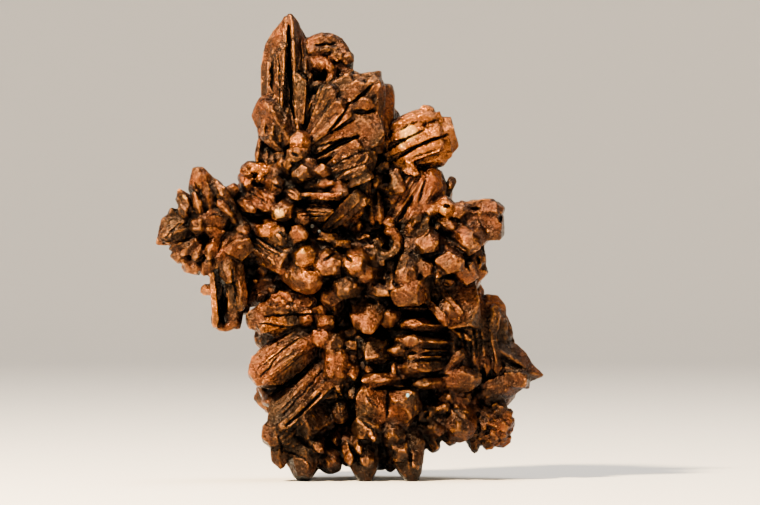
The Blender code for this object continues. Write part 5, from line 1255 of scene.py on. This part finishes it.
def tarnished_copper(name):
    """Native copper, tarnished: metal under a dull brown film of oxide, with a dry, finely pitted skin.

    The film is browner and rougher on open faces, and thinner in patches, where the copper shows
    orange. Edges are lightened, partly as rubbed metal and partly as painted highlight, and golden and
    polished spots are painted highlights. Creases, gaps, recesses and places that less light reaches get
    painted shade.
    """
    material = bpy.data.materials.new(name)
    material.use_nodes = True
    tree = material.node_tree
    shader = tree.nodes["Principled BSDF"]
    place = add_node(tree, "ShaderNodeTexCoord").outputs["Object"]
    broad, mottle, grit = (
        add_node(
            tree, "ShaderNodeTexNoise", Vector=place, Scale=scale / MM, Detail=detail, Roughness=roughness,
        ).outputs["Fac"]
        for scale, detail, roughness in (
            (PATCHES_PER_MM, 3.0, 0.55), (MOTTLES_PER_MM, 5.0, 0.65), (GRIT_PER_MM, 3.0, 0.7),
        )
    )
    pits = add_node(tree, "ShaderNodeTexVoronoi", {"feature": "F1"}, Vector=place, Scale=PITS_PER_MM / MM)
    bends = add_node(tree, "ShaderNodeNewGeometry").outputs["Pointiness"]
    gap_shade = add_node(tree, "ShaderNodeAmbientOcclusion", {"samples": 8}, Distance=GAP_SHADE_REACH).outputs["AO"]
    golden_highlight = near_places(tree, place, GOLDEN_HIGHLIGHTS)
    pink = near_places(tree, place, PINK)
    polished_highlight = near_places(tree, place, POLISHED_HIGHLIGHTS)
    grainy = near_places(tree, place, GRAINY)

    # The film of tarnish, from thin and orange to thick and brown, with lighter and darker spots.
    film = add_node(tree, "ShaderNodeValToRGB", Fac=broad)
    set_ramp(film, (
        (0.34, hex_colour("#63310e")),
        (0.44, hex_colour("#4c270c")),
        (0.54, hex_colour("#361e0b")),
        (0.66, hex_colour("#2f1e0d")),
    ))
    spots = add_node(tree, "ShaderNodeValToRGB", Fac=mottle)
    set_ramp(spots, ((0.36, grey(0.6)), (0.5, grey(0.95)), (0.66, grey(1.3))))
    colour = mixed(tree, 1.0, film.outputs["Color"], spots.outputs["Color"], "MULTIPLY")
    speckle = add_node(tree, "ShaderNodeValToRGB", Fac=grit)
    set_ramp(speckle, ((0.34, grey(0.42)), (0.48, grey(0.92)), (0.64, grey(1.5))))
    colour = mixed(tree, 1.0, colour, speckle.outputs["Color"], "MULTIPLY")

    # Barer metal in pink places. Edges lightened in patches, partly as rubbed metal and partly as painted
    # highlight, and painted golden and polished highlights.
    colour = mixed(tree, ranged(tree, pink, 0.0, 1.0, 0.0, 0.35), colour, hex_colour("#84441c"))
    # Painted golden highlight: the colour turns golden in the golden balls.
    colour = mixed(tree, ranged(tree, golden_highlight, 0.0, 1.0, 0.0, 0.5), colour, hex_colour("#a55c13"))
    # Convex edges lightened, partly as wear and partly as painted highlight.
    worn_and_lit_edges = ranged(tree, bends, 0.51, 0.58)
    rubbed_and_highlit = sums(tree, "MULTIPLY", worn_and_lit_edges, ranged(tree, mottle, 0.42, 0.58, 0.0, 0.85))
    colour = mixed(tree, rubbed_and_highlit, colour, hex_colour("#c47c34"))
    # Painted highlight: pale gold colour in the polished balls.
    colour = mixed(tree, ranged(tree, polished_highlight, 0.0, 1.0, 0.0, 0.7), colour, hex_colour("#e6aa54"))

    # Painted shade in creases, gaps and recesses, then the specks.
    # Painted shade: concave creases turn near black.
    crease_shade = ranged(tree, bends, 0.485, 0.42, 0.0, 0.75)
    colour = mixed(tree, crease_shade, colour, hex_colour("#240e06"))
    # Painted shade: occlusion darkens the colour in gaps between crystals, towards a near-black brown.
    shade = sums(tree, "POWER", ranged(tree, gap_shade, 0.3, 0.95), 2.0)
    # Painted shade: darker still in the shaded balls, and most in the recesses.
    for places, least in ((SHADED_PLACES, 0.5), (SHADED_RECESSES, 0.3)):
        lit = ranged(tree, near_places(tree, place, places), 0.0, 1.0, 1.0, least)
        shade = sums(tree, "MULTIPLY", shade, lit)
    colour = mixed(tree, 1.0, colour, mixed(tree, shade, hex_colour("#1d0903"), grey(1.0)), "MULTIPLY")
    for places, code in ((BLUE_SPECK, "#6c9cae"), (WHITE_GRAINS, "#cfccc2")):
        speck = ranged(tree, near_places(tree, place, places, SPECK_SQUASH), 0.0, 0.3)
        colour = mixed(tree, speck, colour, hex_colour(code))
    tree.links.new(colour, shader.inputs["Base Color"])

    # Rubbed and bright metal is smoother than the film.
    sheen = ranged(tree, mottle, 0.36, 0.66, 0.24, 0.44)
    sheen = sums(tree, "SUBTRACT", sheen, ranged(tree, rubbed_and_highlit, 0.0, 1.0, 0.0, 0.16))
    bright = sums(tree, "MAXIMUM", golden_highlight, polished_highlight)
    sheen = sums(tree, "SUBTRACT", sheen, ranged(tree, bright, 0.0, 1.0, 0.0, 0.14))
    tree.links.new(sheen, shader.inputs["Roughness"])
    shader.inputs["Metallic"].default_value = 0.85

    # Relief that is finer than the mesh, and grains that each lie at their own angle.
    pitted = ranged(tree, pits.outputs["Distance"], 0.0, 0.4)
    pitting = ranged(tree, grainy, 0.0, 1.0, 0.45, 1.0)
    under = {}
    for height, relief, strength in (
        (grit, GRIT_RELIEF, 1.0), (pitted, PIT_RELIEF, pitting), (mottle, MOTTLE_RELIEF, 0.6),
    ):
        bump = add_node(tree, "ShaderNodeBump", Strength=strength, Distance=relief, Height=height, **under)
        under = {"Normal": bump.outputs["Normal"]}
    grains = add_node(tree, "ShaderNodeTexVoronoi", {"feature": "F1"}, Vector=place, Scale=FACETS_PER_MM / MM)
    middle = vectors(tree, "SUBTRACT", grains.outputs["Color"], (0.5, 0.5, 0.5))
    tilt = vectors(tree, "MULTIPLY", middle, (FACET_TILT,) * 3)
    tilted = vectors(tree, "NORMALIZE", vectors(tree, "ADD", under["Normal"], tilt))
    tree.links.new(tilted, shader.inputs["Normal"])
    return material


def studio_floor():
    """A pale round studio: a floor that rises all round in one curve, so that each side has a pale ground."""
    material = bpy.data.materials.new("pale paper sweep")
    material.use_nodes = True
    shader = material.node_tree.nodes["Principled BSDF"]
    shader.inputs["Base Color"].default_value = hex_colour("#d6d5d3")
    shader.inputs["Roughness"].default_value = 0.9
    deselect()
    bpy.ops.mesh.primitive_circle_add(vertices=FLOOR_SIDES, radius=FLOOR_RADIUS, fill_type="NGON")
    floor = bpy.context.object
    floor.name = "sweep"
    radius, height = FLOOR_RADIUS, 0.0
    for i in range(FLOOR_STEPS):
        turn = math.radians(90 * (i + 0.5) / FLOOR_STEPS)
        step = FLOOR_CURVE * math.radians(90) / FLOOR_STEPS
        wider = (radius + step * math.cos(turn)) / radius
        rim = height - TINY
        pick(floor, "edges", lambda edge: on_rim(floor.data, edge, radius - TINY, rim))
        bpy.ops.mesh.extrude_edges_move(TRANSFORM_OT_translate={"value": (0, 0, step * math.sin(turn))})
        bpy.ops.transform.resize(value=(wider, wider, 1), center_override=(0, 0, 0))
        radius *= wider
        height += step * math.sin(turn)
    bpy.ops.mesh.extrude_edges_move(TRANSFORM_OT_translate={"value": (0, 0, FLOOR_WALL)})
    bpy.ops.mesh.select_all(action="SELECT")
    bpy.ops.mesh.normals_make_consistent(inside=True)
    bpy.ops.object.mode_set(mode="OBJECT")
    bpy.ops.object.shade_smooth()
    floor.data.materials.append(material)


def on_rim(mesh, edge, radius, height):
    """Whether both ends of an edge are as far out and as high as the rim."""
    ends = [mesh.vertices[i].co for i in edge.vertices]
    return all(math.hypot(end.x, end.y) > radius and end.z > height for end in ends)


def add_lamp(name, place, size, power, colour):
    """A soft square lamp that faces the specimen."""
    lamp = bpy.data.lights.new(name, "AREA")
    lamp.size = size
    lamp.energy = power
    lamp.color = hex_colour(colour)[:3]
    obj = bpy.data.objects.new(name, lamp)
    obj.location = place
    obj.rotation_euler = (LAMP_AIM - Vector(place)).to_track_quat("-Z", "Y").to_euler()
    bpy.context.scene.collection.objects.link(obj)


def studio_light():
    world = bpy.data.worlds.new("studio")
    bpy.context.scene.world = world
    world.use_nodes = True
    shader = world.node_tree.nodes["Background"]
    shader.inputs["Color"].default_value = hex_colour("#8c97a8")
    shader.inputs["Strength"].default_value = WORLD_STRENGTH
    for lamp in LAMPS:
        add_lamp(*lamp)


def camera_at_photo():
    data = bpy.data.cameras.new("camera")
    data.lens = LENS
    data.sensor_width = SENSOR
    data.clip_start = 0.01
    camera = bpy.data.objects.new("camera", data)
    distance = VIEW_WIDTH * LENS / SENSOR
    camera.location = (AIM - Vector((0, distance, 0))) * MM
    camera.rotation_euler = (math.radians(90), 0, 0)
    bpy.context.scene.collection.objects.link(camera)
    bpy.context.scene.camera = camera


# Areas with a crust of small grains: centre, half-sizes and grain.
CRUMBS = {
    "spire_and_fan": (
        ((-12.4, -3.4, 59.0), (1.8, 1.2, 1.6), 0.7), ((-11.0, -3.4, 64.0), (0.8, 1.2, 5.4), 0.55),
        ((1.8, -5.6, 50.8), (1.9, 1.8, 2.0), 0.6),
    ),
    "crowd": (((-14.6, -3.2, 48.9), (2.8, 1.6, 1.5), 1.1), ((-2.0, -6.8, 46.4), (1.4, 1.2, 1.2), 0.7)),
    "left_arm_and_band": (((-4.8, -2.2, 40.6), (2.8, 1.6, 1.6), 0.7),),
    "golden_block_and_right_arm": (
        ((18.8, -3.6, 34.6), (2.2, 2.0, 2.2), 1.0), ((4.4, -0.6, 42.6), (3.4, 2.0, 2.4), 1.2),
    ),
    "lower_left": (
        ((-8.8, -3.6, 28.4), (4.4, 2.2, 1.9), 1.0), ((-2.2, -4.4, 18.4), (1.9, 2.0, 3.0), 0.9),
        ((-4.4, -4.4, 22.6), (2.2, 2.0, 1.4), 0.9),
    ),
    "lower_right": (
        ((22.4, 0.2, 8.8), (3.8, 2.6, 3.6), 1.3), ((17.8, -1.6, 25.6), (2.6, 2.2, 4.4), 0.8),
        ((3.4, -4.6, 12.4), (2.2, 2.2, 2.2), 0.7), ((12.6, -1.8, 10.6), (3.0, 2.2, 2.0), 1.1),
    ),
}

# Arcs of each region: centre, radius, thickness, first and last angle in degrees.
ARCS = {
    "spire_and_fan": (((-4.1, -1.6, 66.9), 3.2, 2.1, 122, -20),),
    "left_arm_and_band": (((5.6, -4.6, 37.7), 2.1, 1.5, -155, 70), ((-19.8, -3.4, 26.0), 1.7, 1.2, 185, 355)),
    "golden_block_and_right_arm": (((5.8, -3.4, 48.4), 1.7, 1.2, 100, 380),),
}

# Each region's crystals, the masses that they spring from, and which of those are crowded with small ones.
REGIONS = {
    "spire_and_fan": (SPIRE + HEAD + FAN + SHELL + SHOULDER, (1, 2, 3), ()),
    "crowd": (CROWD, (4,), (4,)),
    "left_arm_and_band": (LEFT_ARM + BAND, (5, 6, 7, 8, 9), (5, 6, 7, 8)),
    "golden_block_and_right_arm": (GOLDEN_BLOCK + RIGHT_ARM, (10, 11, 12, 13, 14, 15), (12, 13)),
    "lower_left": (LEFT_BLADES + LOW_MIDDLE, (16, 17, 18), (17, 18)),
    "lower_right": (LEDGES + LOW_BLOCK + FEET + RIGHT_FLANK, (19, 20, 21, 24, 25, 26), (21, 26)),
}


# The beds behind, which the back is grown over as well.
BACK_BEDS = (22, 23)


def dress(region, material):
    """Gives a finished region its finish, attaches it to the root body, and hides the part of the solid that
    it stands in for.
    """
    region.data.materials.clear()
    region.data.materials.append(material)
    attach(region, "root")
    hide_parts(NODE)


def build():
    noise.seed_set(NOISE_SEED)
    studio_floor()
    studio_light()
    camera_at_photo()
    models = {}
    material = tarnished_copper("tarnished native copper")
    lumpy = noise_texture("lumps", LUMP_SIZE, noise_depth=2)
    gritty = noise_texture("grit", GRIT_SIZE, noise_depth=2)
    textures = ((lumpy, LUMP_HEIGHT, 0.5), (gritty, GRIT_HEIGHT, 0.5))
    regions = []
    for seed, (name, (rows, beds, crowded)) in enumerate(REGIONS.items()):
        for i in crowded:
            rows = rows + tuple(filler_rows(*BEDS[i], i, -1, GAP_SIZE))
        lines = GROOVES[name] + striations(rows, seed)
        for number, crust in enumerate(CRUMBS[name]):
            rows = rows + tuple(crumb_rows(*crust, number))
        for arc in ARCS.get(name, ()):
            rows = rows + tuple(arc_rows(*arc))
        copies = grow_crystals(rows, models, seed)
        copies += [add_mass(*BEDS[i]) for i in beds]
        region = grow_region(name, copies, textures, CELL)
        carve(region, lines)
        regions.append(region)
    back = [row for fan in BACK_FANS for row in fan_rows(*fan)]
    for i, (centre, (wide, deep, tall)) in enumerate(CORE):
        back += filler_rows(centre, (wide, deep - BACK_INSET, tall), i, 1, BACK_SIZE)
    copies = grow_crystals(back, models, len(REGIONS))
    copies += [add_mass(*lump) for lump in CORE + tuple(BEDS[i] for i in BACK_BEDS)]
    regions.append(grow_region("back", copies, textures, BACK_CELL))
    for region in regions:
        keep_above_rest(region)
        dress(region, material)
    for model in models.values():
        bpy.data.objects.remove(model)


build()
